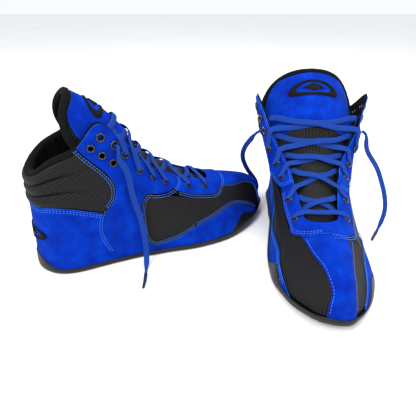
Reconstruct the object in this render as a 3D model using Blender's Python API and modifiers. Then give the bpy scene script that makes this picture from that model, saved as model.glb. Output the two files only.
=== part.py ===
"""A pair of high-top boxing boots with thin rubber soles, suede and mesh uppers and laces.

Run with: blender --background --python part.py
Metres, +Z up. The origin is the middle of the pair on the floor. +X runs across the pair.

Each boot is drawn once in its own frame, in millimetres: x runs forward from the back of the
heel, y runs to the medial (inner) side and z runs up from the floor. The upper is a surface of
ribs. A rib starts on the feather line, where the upper meets the sole, and ends on the top line:
the collar, the eyelet facings, and the ridge of the toe. A point of the surface has a station s
(0 at the heel, 1 at the toe), a height v along its rib (0 at the sole, 1 at the top line), a side
(+1 medial, -1 lateral) and a lift off the surface.
"""

import math

import bmesh
import bpy
import numpy as np
from mathutils import Vector, geometry

# ---------------------------------------------------------------- driving dimensions (mm)
MM = 0.001
FLOOR_HEIGHT = 6.8          # inside floor of the outsole
FEATHER_HEIGHT = 9.0        # lowest edge of the upper
CLEARANCE = 0.4             # gap between touching pieces
MESH_LIFT = -2.2            # inner face of the mesh, off the rib surface
MESH_THICKNESS = 1.2
SUEDE_LIFT = 0.2            # inner face of the suede
SUEDE_THICKNESS = 1.2
STAY_LIFT = -2.5            # webbing stay behind the facings
STAY_THICKNESS = 1.0
RAND_LIFT = 2.1             # inner face of the rubber rand
SOLE_LIP = 3.5              # how far the rubber stands proud of the rib surface
TONGUE_THICKNESS = 4.0
TONGUE_DEPTH = 9.4          # tongue's edges below the facings
LACE_RADIUS = 1.25
EYELET_BORE = 2.5
EYELET_RADIUS = 4.4
EYELET_TOP = 2.6
EYELET_SIDES = 6
THROAT = 0.76               # station where the facings meet
AGLET_RADIUS = 1.9
AGLET_LENGTH = 22.0
TONGUE_SPLIT = 6.85         # tongue row where the free flap begins
TIP_START = 7.0             # row where the tongue's round tip begins
TIP_ROW = 8.5               # row of the tongue's tip
PATTERN_LENGTH = 300.0      # length and height that a pattern's station and height stand for
PATTERN_HEIGHT = 110.0

# Stations of the last. Feather line: forward, medial width, lateral width, height.
# Top line: forward, half gap, height, sideways offset. Rib shape: rise and inward lean of the lower
# handle; forward, outward and up of the upper handle. Flare: how far the top opens when loose.
STATIONS = (
    # s,    x,  ym, yl,  z,    x,  y,   z, off, rise, lean, hx, hy, hz, flare
    (0.00, -2, 0, 0, 9, 7, 0, 116, 0, 34, 3.0, -2, 0, -34, 0),
    (0.05, 6, 21, 19, 9, 11, 20, 118, 0, 34, 4.0, -1, 0, -34, 2),
    (0.11, 25, 34, 31, 9, 23, 31, 127, 0, 36, 5.0, 1, 0, -36, 6),
    (0.18, 51, 37, 33, 9, 40, 36, 135, 0, 40, 4.0, 4, 0, -36, 10),
    (0.24, 74, 38, 34, 9, 54, 38, 142, 0, 42, 3.0, 6, 1, -38, 17),
    (0.28, 88, 39, 35, 9, 65, 39, 154, 0, 42, 2.5, 9, 2, -44, 22),
    (0.32, 100, 40, 35, 9, 78, 38, 163, 0, 42, 2.0, 10, 3, -50, 26),
    (0.36, 110, 42, 36, 9, 92, 34, 150, 0, 40, 2.0, 8, 5, -42, 23),
    (0.41, 121, 44, 38, 9, 104, 32, 136, 0, 38, 2.0, 4, 10, -34, 19),
    (0.47, 137, 47, 41, 9, 114, 33, 118, 0, 34, 3.0, 3, 14, -26, 8),
    (0.53, 154, 51, 44, 9, 130, 28, 102, -1, 30, 4.0, 3, 15, -18, 2),
    (0.59, 171, 54, 47, 9, 148, 24, 90, -2, 26, 5.0, 2, 16, -12, 0),
    (0.65, 190, 55, 49, 9, 172, 20, 77, -3, 22, 6.0, 2, 16, -7, 0),
    (0.71, 208, 54, 49, 9, 194, 17, 69, -4, 20, 6.0, 2, 16, -4, 0),
    (0.76, 222, 51, 48, 10, 206, 15, 66, -5, 20, 6.0, 2, 22, 0, 0),
    (0.82, 240, 44, 42, 11, 222, 0, 64, -4, 20, 6.0, 3, 22, 0, 0),
    (0.87, 255, 36, 35, 12, 238, 0, 61, -3, 19, 6.0, 3, 20, 0, 0),
    (0.92, 269, 25, 25, 14, 254, 0, 57, -2, 18, 5.5, 4, 16, 0, 0),
    (0.96, 279, 15, 14, 15, 268, 0, 52, 0, 17, 5.0, 5, 10, 0, 0),
    (1.00, 285, 4, 4, 16, 278, 0, 45, 2, 14, 4.0, 5, 0, 0, 0),
)
LATERAL_ROOM = 7.0          # the ankle stands out further on the lateral side

# Eyelets of one facing, as station and height: eight along the edge, three behind them.
FRONT_EYELETS = ((0.700, 0.80), (0.636, 0.82), (0.553, 0.815), (0.503, 0.835),
                 (0.440, 0.81), (0.375, 0.85), (0.342, 0.865), (0.311, 0.905))
REAR_EYELETS = ((0.320, 0.735), (0.298, 0.805), (0.279, 0.895))

# Pattern edges, as station and height.
COUNTER_TOP = ((0.0, 0.680), (0.08, 0.635), (0.155, 0.545), (0.243, 0.420))
COUNTER_FRONT = ((0.243, 0.420), (0.226, 0.33), (0.222, 0.20), (0.240, 0.03))
QUARTER_REAR = ((0.243, 0.985), (0.252, 0.92), (0.277, 0.77), (0.296, 0.66), (0.302, 0.575),
                (0.292, 0.51), (0.256, 0.435))
QUARTER_SEAM = ((0.256, 0.435), (0.233, 0.33), (0.229, 0.20), (0.247, 0.03))
WINDOW_REAR = ((0.587, 0.212), (0.510, 0.095), (0.448, 0.045), (0.395, 0.040), (0.362, 0.11),
               (0.357, 0.254), (0.373, 0.417), (0.402, 0.51), (0.45, 0.596), (0.525, 0.655),
               (0.572, 0.725), (0.603, 0.860), (0.608, 0.985))
FOXING = {"medial": ((0.915, 0.03), (0.890, 0.12), (0.835, 0.300), (0.748, 0.360), (0.667, 0.300),
                     (0.587, 0.212)),
          "lateral": ((0.855, 0.03), (0.800, 0.10), (0.743, 0.220), (0.690, 0.290),
                      (0.640, 0.275), (0.587, 0.212))}
VAMP_REAR = ((0.622, 0.985), (0.617, 0.860), (0.592, 0.700))
VAMP_LOWER = ((0.592, 0.700), (0.640, 0.665), (0.700, 0.640), (0.740, 0.635), (0.785, 0.700),
              (0.812, 0.850), (0.822, 1.0))
STRIPE_REAR = ((0.832, 1.0), (0.822, 0.850), (0.800, 0.715))
STRIPE_SIDE = ((0.800, 0.715), (0.860, 0.690), (0.920, 0.700), (0.952, 0.600), (0.964, 0.40),
               (0.966, 0.05))

# Where each boot stands, which way it points (degrees), how loose its top is and how far up it
# is laced.
BOOTS = (
    dict(name="left", mirror=-1, heel=(-183.3, -42.4), yaw=26.4, flare=0.0, laced=7),
    dict(name="right", mirror=1, heel=(127.2, 141.5), yaw=-91.1, flare=1.0, laced=6),
)

# ---------------------------------------------------------------- materials
FINISHES = {
    "blue_suede": ((0.005, 0.030, 0.520), 0.92, 0.0),
    "black_mesh": ((0.012, 0.012, 0.014), 0.85, 0.0),
    "black_rubber": ((0.010, 0.010, 0.010), 0.45, 0.0),
    "black_lining": ((0.015, 0.015, 0.017), 0.95, 0.0),
    "grey_board": ((0.180, 0.170, 0.150), 0.90, 0.0),
    "black_metal": ((0.020, 0.020, 0.022), 0.25, 0.9),
    "blue_lace": ((0.035, 0.110, 0.500), 0.80, 0.0),
    "navy_plastic": ((0.010, 0.018, 0.060), 0.40, 0.0),
    "black_thread": ((0.008, 0.008, 0.009), 0.70, 0.0),
}


def make_material(name):
    """A Principled material with the finish's colour, roughness and metallic value."""
    colour, roughness, metallic = FINISHES[name]
    material = bpy.data.materials.new(name)
    material.use_nodes = True
    shader = material.node_tree.nodes["Principled BSDF"]
    shader.inputs["Base Color"].default_value = (*colour, 1.0)
    shader.inputs["Roughness"].default_value = roughness
    shader.inputs["Metallic"].default_value = metallic
    material.diffuse_color = (*colour, 1.0)
    return material


# ---------------------------------------------------------------- curves
def smooth_curve(knots, points, closed=False):
    """The cubic spline through the points, as a function of the knot value."""
    knots = np.asarray(knots, float)
    points = np.asarray(points, float)
    step = np.diff(knots)
    rise = np.diff(points, axis=0) / step[:, None]
    count = len(knots)
    system = np.zeros((count, count))
    right = np.zeros_like(points)
    for i in range(1, count - 1):
        system[i, i - 1:i + 2] = step[i], 2 * (step[i - 1] + step[i]), step[i - 1]
        right[i] = 3 * (step[i] * rise[i - 1] + step[i - 1] * rise[i])
    if closed:
        system[0, 0] = 2 * (step[-1] + step[0])
        system[0, 1] = step[-1]
        system[0, -2] = step[0]
        right[0] = 3 * (step[0] * rise[-1] + step[-1] * rise[0])
        system[-1, 0] = 1
        system[-1, -1] = -1
    else:
        system[0, :2] = 2, 1
        right[0] = 3 * rise[0]
        system[-1, -2:] = 1, 2
        right[-1] = 3 * rise[-1]
    slope = np.linalg.solve(system, right)

    def evaluate(t):
        t = np.asarray(t, float)
        i = np.clip(np.searchsorted(knots, t, side="right") - 1, 0, count - 2)
        width = step[i][..., None]
        x = ((t - knots[i]) / step[i])[..., None]
        return ((1 + 2 * x) * (1 - x) ** 2 * points[i] + x * (1 - x) ** 2 * width * slope[i]
                + x * x * (3 - 2 * x) * points[i + 1] + x * x * (x - 1) * width * slope[i + 1])

    return evaluate


def sample_path(points, count):
    """Evenly spaced points of the smooth curve through hand-set points."""
    points = np.asarray(points, float)
    chord = np.concatenate([[0], np.cumsum(np.linalg.norm(np.diff(points, axis=0), axis=1))])
    return smooth_curve(chord, points)(np.linspace(0, chord[-1], count))


def pattern_edge(points, count):
    """One edge of a flat pattern, scaled so that its two directions are alike."""
    scale = np.array([PATTERN_LENGTH, PATTERN_HEIGHT])
    return sample_path(np.asarray(points) * scale, count) / scale


# ---------------------------------------------------------------- the boot's surface
class Boot:
    """One boot's rib surface, its tongue and its place on the floor."""

    def __init__(self, name, mirror, heel, yaw, flare, laced):
        self.name = name
        self.mirror = mirror
        self.heel = np.array([*heel, 0.0])
        angle = math.radians(yaw)
        self.forward = np.array([math.cos(angle), math.sin(angle), 0.0])
        self.medial = np.array([-math.sin(angle), math.cos(angle), 0.0]) * mirror
        self.laced = laced
        self.curves = self.rib_curves(flare)
        self.tongue = self.tongue_curves()

    def world(self, points):
        """Boot frame in mm to world frame in metres."""
        points = np.asarray(points, float)
        across = points[..., :1] * self.forward + points[..., 1:2] * self.medial
        return (self.heel + across + points[..., 2:3] * np.array([0, 0, 1.0])) * MM

    def rib_curves(self, flare):
        table = np.array(STATIONS, float)
        s = table[:, 0]
        loose = flare * table[:, 14]
        room = LATERAL_ROOM * np.sin(np.pi * np.clip((s - 0.04) / 0.66, 0, 1)) ** 2

        def ring(medial, lateral):
            return np.vstack([medial, lateral[-2::-1]])

        low_m = table[:, [1, 2, 4]]
        low_l = table[:, [1, 3, 4]] * (1, -1, 1)
        low_l[-1] = low_m[-1]
        low = ring(low_m, low_l)
        gap = table[:, 6] + loose
        top_m = np.column_stack([table[:, 5], gap, table[:, 7]])
        top = ring(top_m, top_m * (1, -1, 1))
        run = np.gradient(low[:, :2], axis=0)
        run[0] = run[-1] = (0, 1)
        inward = np.column_stack([run[:, 1], -run[:, 0]])
        inward /= np.linalg.norm(inward, axis=1)[:, None]
        lean = np.concatenate([table[:, 10], (table[:, 10] + room)[-2::-1]])
        rise = np.concatenate([table[:, 9], table[-2::-1, 9]])
        low_handle = low + np.column_stack([inward * lean[:, None], rise])
        reach = table[:, 12] - 0.55 * loose
        high_m = np.column_stack([table[:, 11], reach, table[:, 13]])
        high_l = np.column_stack([table[:, 11], -reach - room, table[:, 13]])
        high = ring(high_m, high_l)
        shift = ring(table[:, 8:9], table[:, 8:9])
        turn = np.concatenate([s, 2 - s[-2::-1]])
        return [smooth_curve(turn, values, closed=True)
                for values in (low, low_handle, top, high, shift)]

    def upper(self, s, v, side, lift=0.0):
        """A point of the upper, in the boot's frame."""
        s, v = np.broadcast_arrays(np.asarray(s, float), np.asarray(v, float))
        point = self.bare_upper(s, v, side)
        if not np.any(lift):
            return point
        # Both sides share one normal along the ridge of the toe.
        share = 0.5 * np.clip((v - 0.85) / 0.15, 0, 1) * (s >= THROAT)
        normal = (self.normal(s, v, side) * (1 - share)[..., None]
                  + self.normal(s, v, -side) * share[..., None])
        normal /= np.linalg.norm(normal, axis=-1)[..., None]
        return point + normal * np.asarray(lift, float)[..., None]

    def normal(self, s, v, side):
        h = 0.004
        near = np.clip(v, 0.0, 0.97)
        along = self.bare_upper(s + h, near, side) - self.bare_upper(s - h, near, side)
        up = self.bare_upper(s, near + h, side) - self.bare_upper(s, near - h, side)
        normal = np.cross(up, along) * side
        return normal / np.linalg.norm(normal, axis=-1)[..., None]

    def bare_upper(self, s, v, side):
        turn = (s if side > 0 else 2 - s) % 2.0
        station = np.where(turn <= 1, turn, 2 - turn)
        low, low_handle, top, high, shift = [curve(turn) for curve in self.curves]
        # The gap between the facings closes in a round end at the throat, and stays shut.
        round_end = np.clip((station - THROAT + 0.05) / 0.05, 0, 1)
        opening = np.where(station < THROAT, np.sqrt(1 - round_end ** 2), 0.0)
        top = top * np.stack([np.ones_like(opening), opening, np.ones_like(opening)], -1)
        top[..., 1] += shift[..., 0]
        v = v[..., None]
        return ((1 - v) ** 3 * low + 3 * v * (1 - v) ** 2 * low_handle
                + 3 * v * v * (1 - v) * (top + high) + v ** 3 * top)

    # The tongue is a second surface: row t from under the vamp (0) to its tip, and across a
    # from the lateral edge (-1) to the medial edge (+1).
    def tongue_curves(self):
        rows = np.array([0.735, 0.69, 0.64, 0.58, 0.52, 0.46, 0.40, 0.34])
        proud = np.array([-7.0, -3.0, 0.0, 2.0, 3.0, 4.0, 4.5, 5.0])
        top_m = self.upper(rows, 1.0, 1)
        top_l = self.upper(rows, 1.0, -1)
        centre = (top_m + top_l) / 2
        run = np.gradient(centre[:, [0, 2]], axis=0)
        run /= np.linalg.norm(run, axis=1)[:, None]
        centre += np.column_stack([run[:, 1], 0 * proud, -run[:, 0]]) * proud[:, None]
        low = np.array([0.70, 0.70, 0.68, 0.68, 0.70, 0.70, 0.74, 0.80])
        edge_m = self.upper(rows, low, 1, -TONGUE_DEPTH)
        edge_l = self.upper(rows, low, -1, -TONGUE_DEPTH)
        tip = np.array([58.0, 0.0, 184.0])
        wide = 0.92 * edge_m[-1, 1]
        knots = np.append(np.arange(8.0), 8.5)
        centre = np.vstack([centre, tip])
        edge_m = np.vstack([edge_m, (49.0, wide, 171.0)])
        edge_l = np.vstack([edge_l, (49.0, -wide, 171.0)])
        return [smooth_curve(knots, values) for values in (centre, edge_m, edge_l)]

    def tongue_point(self, a, t, lift=0.0):
        a, t = np.broadcast_arrays(np.asarray(a, float), np.asarray(t, float))
        h = 0.01
        point = self.bare_tongue(a, t)
        if not np.any(lift):
            return point
        across = self.bare_tongue(a + h, t) - self.bare_tongue(a - h, t)
        up = self.bare_tongue(a, t + h) - self.bare_tongue(a, t - h)
        normal = np.cross(across, up)
        normal /= np.linalg.norm(normal, axis=-1)[..., None]
        return point + normal * np.asarray(lift, float)[..., None]

    def bare_tongue(self, a, t):
        centre, edge_m, edge_l = [curve(t) for curve in self.tongue]
        edge = np.where((a > 0)[..., None], edge_m, edge_l)
        a = np.abs(a)[..., None]
        bend = np.concatenate([a ** 2, a, a ** 2], axis=-1)
        return centre + (edge - centre) * bend


# ---------------------------------------------------------------- mesh helpers
def add_object(name, mesh, material):
    """Link a mesh as one named part, with smooth faces between sharp edges."""
    mesh.materials.append(MATERIALS[material])
    mesh.shade_smooth()
    mesh.set_sharp_from_angle(angle=math.radians(50))
    part = bpy.data.objects.new(name, mesh)
    COLLECTION.objects.link(part)
    return part


def finish_mesh(bm, name):
    """Weld, triangulate and turn the faces outward."""
    bmesh.ops.remove_doubles(bm, verts=bm.verts, dist=0.00002)
    bmesh.ops.triangulate(bm, faces=bm.faces)
    bmesh.ops.recalc_face_normals(bm, faces=bm.faces)
    if bm.calc_volume(signed=True) < 0:
        bmesh.ops.reverse_faces(bm, faces=bm.faces)
    mesh = bpy.data.meshes.new(name)
    bm.to_mesh(mesh)
    bm.free()
    return mesh


def add_shell(name, surfaces, thickness, material):
    """An open surface, given as patches of points and faces, thickened outward.

    Each patch is (points, faces, mirrored); patches that meet are welded along their edge.
    """
    bm = bmesh.new()
    for points, faces, flipped in surfaces:
        verts = [bm.verts.new(p) for p in points]
        for face in faces:
            corners = [verts[i] for i in face]
            bm.faces.new(corners[::-1] if flipped else corners)
    bmesh.ops.remove_doubles(bm, verts=bm.verts, dist=0.00002)
    mesh = bpy.data.meshes.new(name)
    bm.to_mesh(mesh)
    bm.free()
    part = add_object(name, mesh, material)
    solid = part.modifiers.new("thickness", "SOLIDIFY")
    solid.thickness = thickness * MM
    solid.offset = 1.0
    return part


def inside(points, loop):
    """Which points lie inside a closed loop of a flat pattern."""
    x, y = points[:, 0], points[:, 1]
    result = np.zeros(len(points), bool)
    for (x1, y1), (x2, y2) in zip(loop, np.roll(loop, -1, axis=0)):
        if y1 != y2:
            crosses = ((y1 > y) != (y2 > y)) & (x < (x2 - x1) * (y - y1) / (y2 - y1) + x1)
            result ^= crosses
    return result


def fill_pattern(loop, spacing, holes=()):
    """Triangles over a flat pattern, with inner points on a grid and round holes left out."""
    scale = np.array([PATTERN_LENGTH, PATTERN_HEIGHT])
    loops = [np.asarray(loop) * scale] + [np.asarray(hole) * scale for hole in holes]
    outer = loops[0]
    low, high = outer.min(axis=0), outer.max(axis=0)
    grid_x, grid_y = np.meshgrid(np.arange(low[0], high[0], spacing) + spacing / 2,
                                 np.arange(low[1], high[1], spacing) + spacing / 2)
    grid = np.column_stack([grid_x.ravel(), grid_y.ravel()])
    grid = grid[inside(grid, outer)]
    for ring in loops:
        apart = np.linalg.norm(grid[:, None] - ring[None], axis=2).min(axis=1)
        grid = grid[apart > 0.45 * spacing]
    for ring in loops[1:]:
        grid = grid[~inside(grid, ring)]
    flat, edges = [], []
    for ring in loops:
        first = len(flat)
        flat.extend(ring)
        edges.extend((first + i, first + (i + 1) % len(ring)) for i in range(len(ring)))
    flat.extend(grid)
    result = geometry.delaunay_2d_cdt([Vector(p) for p in flat], edges, [], 1, 1e-5)
    points = np.array([tuple(p) for p in result[0]])
    faces = []
    for face in result[2]:
        middle = points[list(face)].mean(axis=0)[None]
        if inside(middle, outer)[0] and not any(inside(middle, ring)[0] for ring in loops[1:]):
            faces.append(tuple(face))
    return points / scale, faces


def eyelet_holes(boot, side, eyelets, radius):
    """Round holes of a pattern, in station and height."""
    holes = []
    turn = np.linspace(0, 2 * math.pi, EYELET_SIDES, endpoint=False)
    h = 0.01
    for s, v in eyelets:
        along = (boot.upper(s + h, v, side) - boot.upper(s - h, v, side)) / (2 * h)
        up = (boot.upper(s, v + h, side) - boot.upper(s, v - h, side)) / (2 * h)
        across = along / np.linalg.norm(along)
        square = up - across * (up @ across)
        square /= np.linalg.norm(square)
        ring = radius * (np.outer(np.cos(turn), across) + np.outer(np.sin(turn), square))
        steps = ring @ np.linalg.pinv(np.array([along, up]))
        holes.append(np.array((s, v)) + steps)
    return holes


def add_panel(boot, name, loop, sides, lift, thickness, material, spacing=15.0, eyelets=()):
    """A flat pattern wrapped on the upper. Two sides are welded where they meet."""
    patches = []
    for side in sides:
        holes = eyelet_holes(boot, side, eyelets, EYELET_RADIUS + 0.8) if eyelets else ()
        pattern, faces = fill_pattern(loop, spacing, holes)
        points = boot.world(boot.upper(pattern[:, 0], pattern[:, 1], side, lift))
        patches.append((points, faces, side * boot.mirror > 0))
    return add_shell(f"{boot.name}_{name}", patches, thickness, material)


def add_grid_shell(boot, name, stations, heights, lift, thickness, material, rows=6):
    """Both sides of a stretch of the upper. heights(s) gives its lowest and highest height."""
    patches = []
    for side in (1, -1):
        low, high = heights(stations)
        v = low + (high - low) * np.linspace(0, 1, rows)[:, None]
        s = np.broadcast_to(stations, v.shape)
        points = boot.world(boot.upper(s, v, side, lift)).reshape(-1, 3)
        n = len(stations)
        faces = [(r * n + k, r * n + k + 1, (r + 1) * n + k + 1, (r + 1) * n + k)
                 for r in range(rows - 1) for k in range(n - 1)]
        patches.append((points, faces, side * boot.mirror > 0))
    return add_shell(f"{boot.name}_{name}", patches, thickness, material)


def add_loft(name, loops, material):
    """A solid of closed loops of equal length, with a cap of cross strips at each end."""
    bm = bmesh.new()
    rings = [[bm.verts.new(p) for p in loop] for loop in loops]
    n = len(rings[0])
    for ring, following in zip(rings, rings[1:]):
        for k in range(n):
            bm.faces.new((ring[k], ring[(k + 1) % n], following[(k + 1) % n], following[k]))
    for ring in (rings[0], rings[-1]):
        for k in range(n // 2):
            corners = [ring[k], ring[k + 1], ring[(n - k - 1) % n], ring[(n - k) % n]]
            distinct = list(dict.fromkeys(corners))
            if len(distinct) > 2:
                bm.faces.new(distinct)
    return add_object(name, finish_mesh(bm, name), material)


def add_tube(name, path, radius, material, resolution=2):
    """A round cord or edging along a path of world points."""
    curve = bpy.data.curves.new(name, "CURVE")
    curve.dimensions = "3D"
    curve.bevel_depth = radius * MM
    curve.bevel_resolution = resolution
    curve.use_fill_caps = True
    spline = curve.splines.new("POLY")
    spline.points.add(len(path) - 1)
    for point, place in zip(spline.points, path):
        point.co = (*place, 1.0)
    curve.materials.append(MATERIALS[material])
    part = bpy.data.objects.new(name, curve)
    COLLECTION.objects.link(part)
    return part


# ---------------------------------------------------------------- the sole
def both_sides(count):
    """Stations once around the boot, closer at the heel and toe, with the side of each."""
    turn = np.linspace(0, 2, count, endpoint=False)
    turn -= 0.55 * np.sin(2 * math.pi * turn) / (2 * math.pi)
    return np.where(turn <= 1, turn, 2 - turn), np.where(turn <= 1, 1, -1)


def around(boot, count, height, lift):
    """A loop of the upper's surface around the whole boot."""
    s, side = both_sides(count)
    v = np.broadcast_to(height, s.shape)
    out = np.empty((count, 3))
    for sign in (1, -1):
        mine = side == sign
        out[mine] = boot.upper(s[mine], v[mine], sign, lift)
    return out


def sole_loop(boot, count, offset, height):
    """A loop at a height over the sole's underside, offset sideways from the feather line."""
    base = around(boot, count, 0.0, 0.0)
    run = np.roll(base, -1, axis=0) - np.roll(base, 1, axis=0)
    outward = np.column_stack([-run[:, 1], run[:, 0], 0 * run[:, 0]])
    outward /= np.linalg.norm(outward, axis=1)[:, None]
    loop = base + outward * offset
    loop[:, 2] = np.maximum(base[:, 2] - FEATHER_HEIGHT, 0) + height
    return loop


def rand_height(count):
    """How far up its rib the rubber reaches: high at the heel, the joints and the toe."""
    s, side = both_sides(count)

    def swell(middle, width):
        return np.cos(np.clip((s - middle) / width, -1, 1) * math.pi / 2) ** 2

    joint = np.where(side > 0, swell(0.82, 0.10), swell(0.74, 0.09))
    return 0.025 + 0.095 * swell(0.0, 0.12) + 0.14 * joint + 0.06 * swell(1.0, 0.06)


def make_sole(boot):
    count = 52
    rand = rand_height(count)
    low_outer = sole_loop(boot, count, SOLE_LIP - 0.2, 5.0)
    top_outer = around(boot, count, rand, SOLE_LIP)
    top_inner = around(boot, count, rand, RAND_LIFT)
    half_inner = around(boot, count, rand / 2, RAND_LIFT)
    loops = [sole_loop(boot, count, -1.5, 0.0), sole_loop(boot, count, 2.0, 1.2), low_outer,
             around(boot, count, rand / 2, SOLE_LIP), top_outer, top_inner, half_inner,
             sole_loop(boot, count, RAND_LIFT, FLOOR_HEIGHT),
             sole_loop(boot, count, -6.0, FLOOR_HEIGHT)]
    add_loft(f"{boot.name}_outsole", [boot.world(loop) for loop in loops], "black_rubber")

    def flat_layer(name, inset, low, high, material):
        layer = [sole_loop(boot, count, -inset, low), sole_loop(boot, count, -inset, high)]
        add_loft(f"{boot.name}_{name}", [boot.world(loop) for loop in layer], material)

    flat_layer("insole_board", 3.5, 7.7, 9.2, "grey_board")
    flat_layer("sockliner", 7.0, 10.0, 13.0, "black_lining")


# ---------------------------------------------------------------- the upper
def mesh_top(s):
    """Top edge of the mesh: the collar, then under the facings' stays, then the toe ridge."""
    return np.interp(s, (0.235, 0.262, 0.29, 0.36, 0.55, 0.72, 0.76, 0.80),
                     (0.985, 0.84, 0.66, 0.56, 0.62, 0.60, 0.84, 1.0))


def full_height(s):
    return 0.0 * s, mesh_top(s)


def make_mesh_upper(boot):
    rear = np.linspace(0, 0.340, 10)
    front = np.concatenate([np.linspace(0.346, 0.72, 9), np.linspace(0.76, 1.0, 10)])
    add_grid_shell(boot, "ankle_mesh", rear, full_height, MESH_LIFT, MESH_THICKNESS,
                   "black_mesh", rows=7)
    add_grid_shell(boot, "vamp_mesh", front, full_height, MESH_LIFT, MESH_THICKNESS, "black_mesh")


def make_heel_and_collar(boot):
    heel = np.linspace(0, 0.20, 7)
    add_grid_shell(boot, "heel_stiffener", heel,
                   lambda s: (0.06 + 0 * s, 0.56 - 0.8 * s), -4.6, 1.5, "grey_board", rows=4)
    collar = np.linspace(0, 0.225, 8)
    add_grid_shell(boot, "collar_pad", collar,
                   lambda s: (0.66 - 0.5 * s, 0.975 + 0 * s), -7.3, 4.0, "black_lining", rows=4)
    add_grid_shell(boot, "collar_lining", collar,
                   lambda s: (0.62 - 0.5 * s, 0.985 + 0 * s), -9.3, 1.1, "black_lining", rows=4)


def badge_height(s):
    return 0.28 + 0 * s, 0.44 - 0.3 * s


def make_suede(boot):
    heel_back = [(0.0, v) for v in np.linspace(0.03, 0.68, 8)[1:-1]]
    counter = np.vstack([pattern_edge(COUNTER_TOP, 8), pattern_edge(COUNTER_FRONT, 6)[1:],
                         pattern_edge(((0.24, 0.03), (0.0, 0.03)), 8)[1:], heel_back])
    add_panel(boot, "heel_counter", counter, (1, -1), SUEDE_LIFT, SUEDE_THICKNESS, "blue_suede")
    for word, side in (("medial", 1), ("lateral", -1)):
        edge = FOXING[word]
        quarter = np.vstack([
            pattern_edge(QUARTER_REAR, 9),
            pattern_edge(QUARTER_SEAM, 4)[1:],
            pattern_edge((QUARTER_SEAM[-1], edge[0]), 14)[1:],
            pattern_edge(edge, 9)[1:],
            pattern_edge(WINDOW_REAR, 17)[1:],
            pattern_edge((WINDOW_REAR[-1], QUARTER_REAR[0]), 13)[1:-1],
        ])
        used = FRONT_EYELETS[2:] + REAR_EYELETS
        add_panel(boot, f"{word}_quarter", quarter, (side,), SUEDE_LIFT, SUEDE_THICKNESS,
                  "blue_suede", eyelets=used)
    facing = pattern_edge((VAMP_LOWER[-1], (THROAT + 0.002, 1.0)), 4)[1:]
    gap_edge = pattern_edge(((THROAT - 0.004, 0.985), VAMP_REAR[0]), 8)
    vamp = np.vstack([pattern_edge(VAMP_REAR, 5), pattern_edge(VAMP_LOWER, 12)[1:], facing,
                      gap_edge[:-1]])
    add_panel(boot, "vamp_facing", vamp, (1, -1), SUEDE_LIFT, SUEDE_THICKNESS, "blue_suede",
              eyelets=FRONT_EYELETS[:2])
    stripe = np.vstack([pattern_edge(STRIPE_REAR, 5), pattern_edge(STRIPE_SIDE, 12)[1:],
                        pattern_edge(((0.966, 0.05), (1.0, 0.05)), 3)[1:],
                        pattern_edge(((1.0, 0.05), (1.0, 1.0)), 6)[1:],
                        pattern_edge(((1.0, 1.0), (0.832, 1.0)), 8)[1:-1]])
    add_panel(boot, "toe_stripe", stripe, (1, -1), SUEDE_LIFT, SUEDE_THICKNESS, "blue_suede",
              spacing=12.0)
    add_grid_shell(boot, "heel_emblem", np.linspace(0, 0.07, 5), badge_height,
                   SUEDE_LIFT + SUEDE_THICKNESS + CLEARANCE, 0.6, "black_thread", rows=5)


def make_eyelets(boot):
    """A webbing stay behind each facing, with its eleven eyelets pressed through it."""
    for word, side in (("medial", 1), ("lateral", -1)):
        stations = np.linspace(0.255, 0.725, 14)
        upper_edge = np.column_stack([stations, np.full(14, 0.975)])
        lower = np.minimum(mesh_top(stations) + 0.035, 0.90)
        lower_edge = np.column_stack([stations, lower])[::-1]
        places = FRONT_EYELETS + REAR_EYELETS
        bores = eyelet_holes(boot, side, places, EYELET_RADIUS)
        pattern, faces = fill_pattern(np.vstack([upper_edge, lower_edge]), 22.0, bores)
        add_pierced_stay(boot, f"{word}_eyelets", side, pattern, faces, places, bores)


def add_pierced_stay(boot, name, side, pattern, faces, places, bores):
    """The flat stay with a square-section ring standing in each of its holes."""
    bm = bmesh.new()
    lifts = (STAY_LIFT, STAY_LIFT + STAY_THICKNESS)
    sheets = [[bm.verts.new(p) for p in
               boot.world(boot.upper(pattern[:, 0], pattern[:, 1], side, lift))]
              for lift in lifts]
    borders = {}
    for face in faces:
        bm.faces.new([sheets[0][i] for i in face])
        bm.faces.new([sheets[1][i] for i in reversed(face)])
        for pair in zip(face, face[1:] + face[:1]):
            borders[pair] = borders.get(pair, 0) + 1
            borders[pair[::-1]] = borders.get(pair[::-1], 0) - 1
    rims = [(i, j) for (i, j), count in borders.items() if count > 0]
    near = {}
    for number, bore in enumerate(bores):
        for i in range(len(pattern)):
            apart = np.linalg.norm((bore - pattern[i]) * (PATTERN_LENGTH, PATTERN_HEIGHT), axis=1)
            if apart.min() < 0.01:
                near[i] = number, int(apart.argmin())
    for i, j in rims:
        if i not in near or j not in near:
            bm.faces.new((sheets[0][i], sheets[0][j], sheets[1][j], sheets[1][i]))
    for number, (s, v) in enumerate(places):
        add_eyelet_ring(bm, boot, side, s, v, bores[number],
                        {near[i][1]: (sheets[0][i], sheets[1][i])
                         for i in near if near[i][0] == number})
    add_object(f"{boot.name}_{name}", finish_mesh(bm, name), "black_metal")


def add_eyelet_ring(bm, boot, side, s, v, bore, rim):
    """Walls of one ring: up from the stay's hole, over the top, down the bore and back."""
    centre = np.array((s, v))
    shrink = EYELET_BORE / EYELET_RADIUS
    inner = centre + (bore - centre) * shrink

    def loop(points, lift):
        return [bm.verts.new(p) for p in
                boot.world(boot.upper(points[:, 0], points[:, 1], side, lift))]

    rings = [[rim[k][1] for k in range(EYELET_SIDES)], loop(bore, EYELET_TOP),
             loop(inner, EYELET_TOP), loop(inner, STAY_LIFT),
             [rim[k][0] for k in range(EYELET_SIDES)]]
    for ring, following in zip(rings, rings[1:]):
        for k in range(EYELET_SIDES):
            j = (k + 1) % EYELET_SIDES
            bm.faces.new((ring[k], ring[j], following[j], following[k]))


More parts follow.
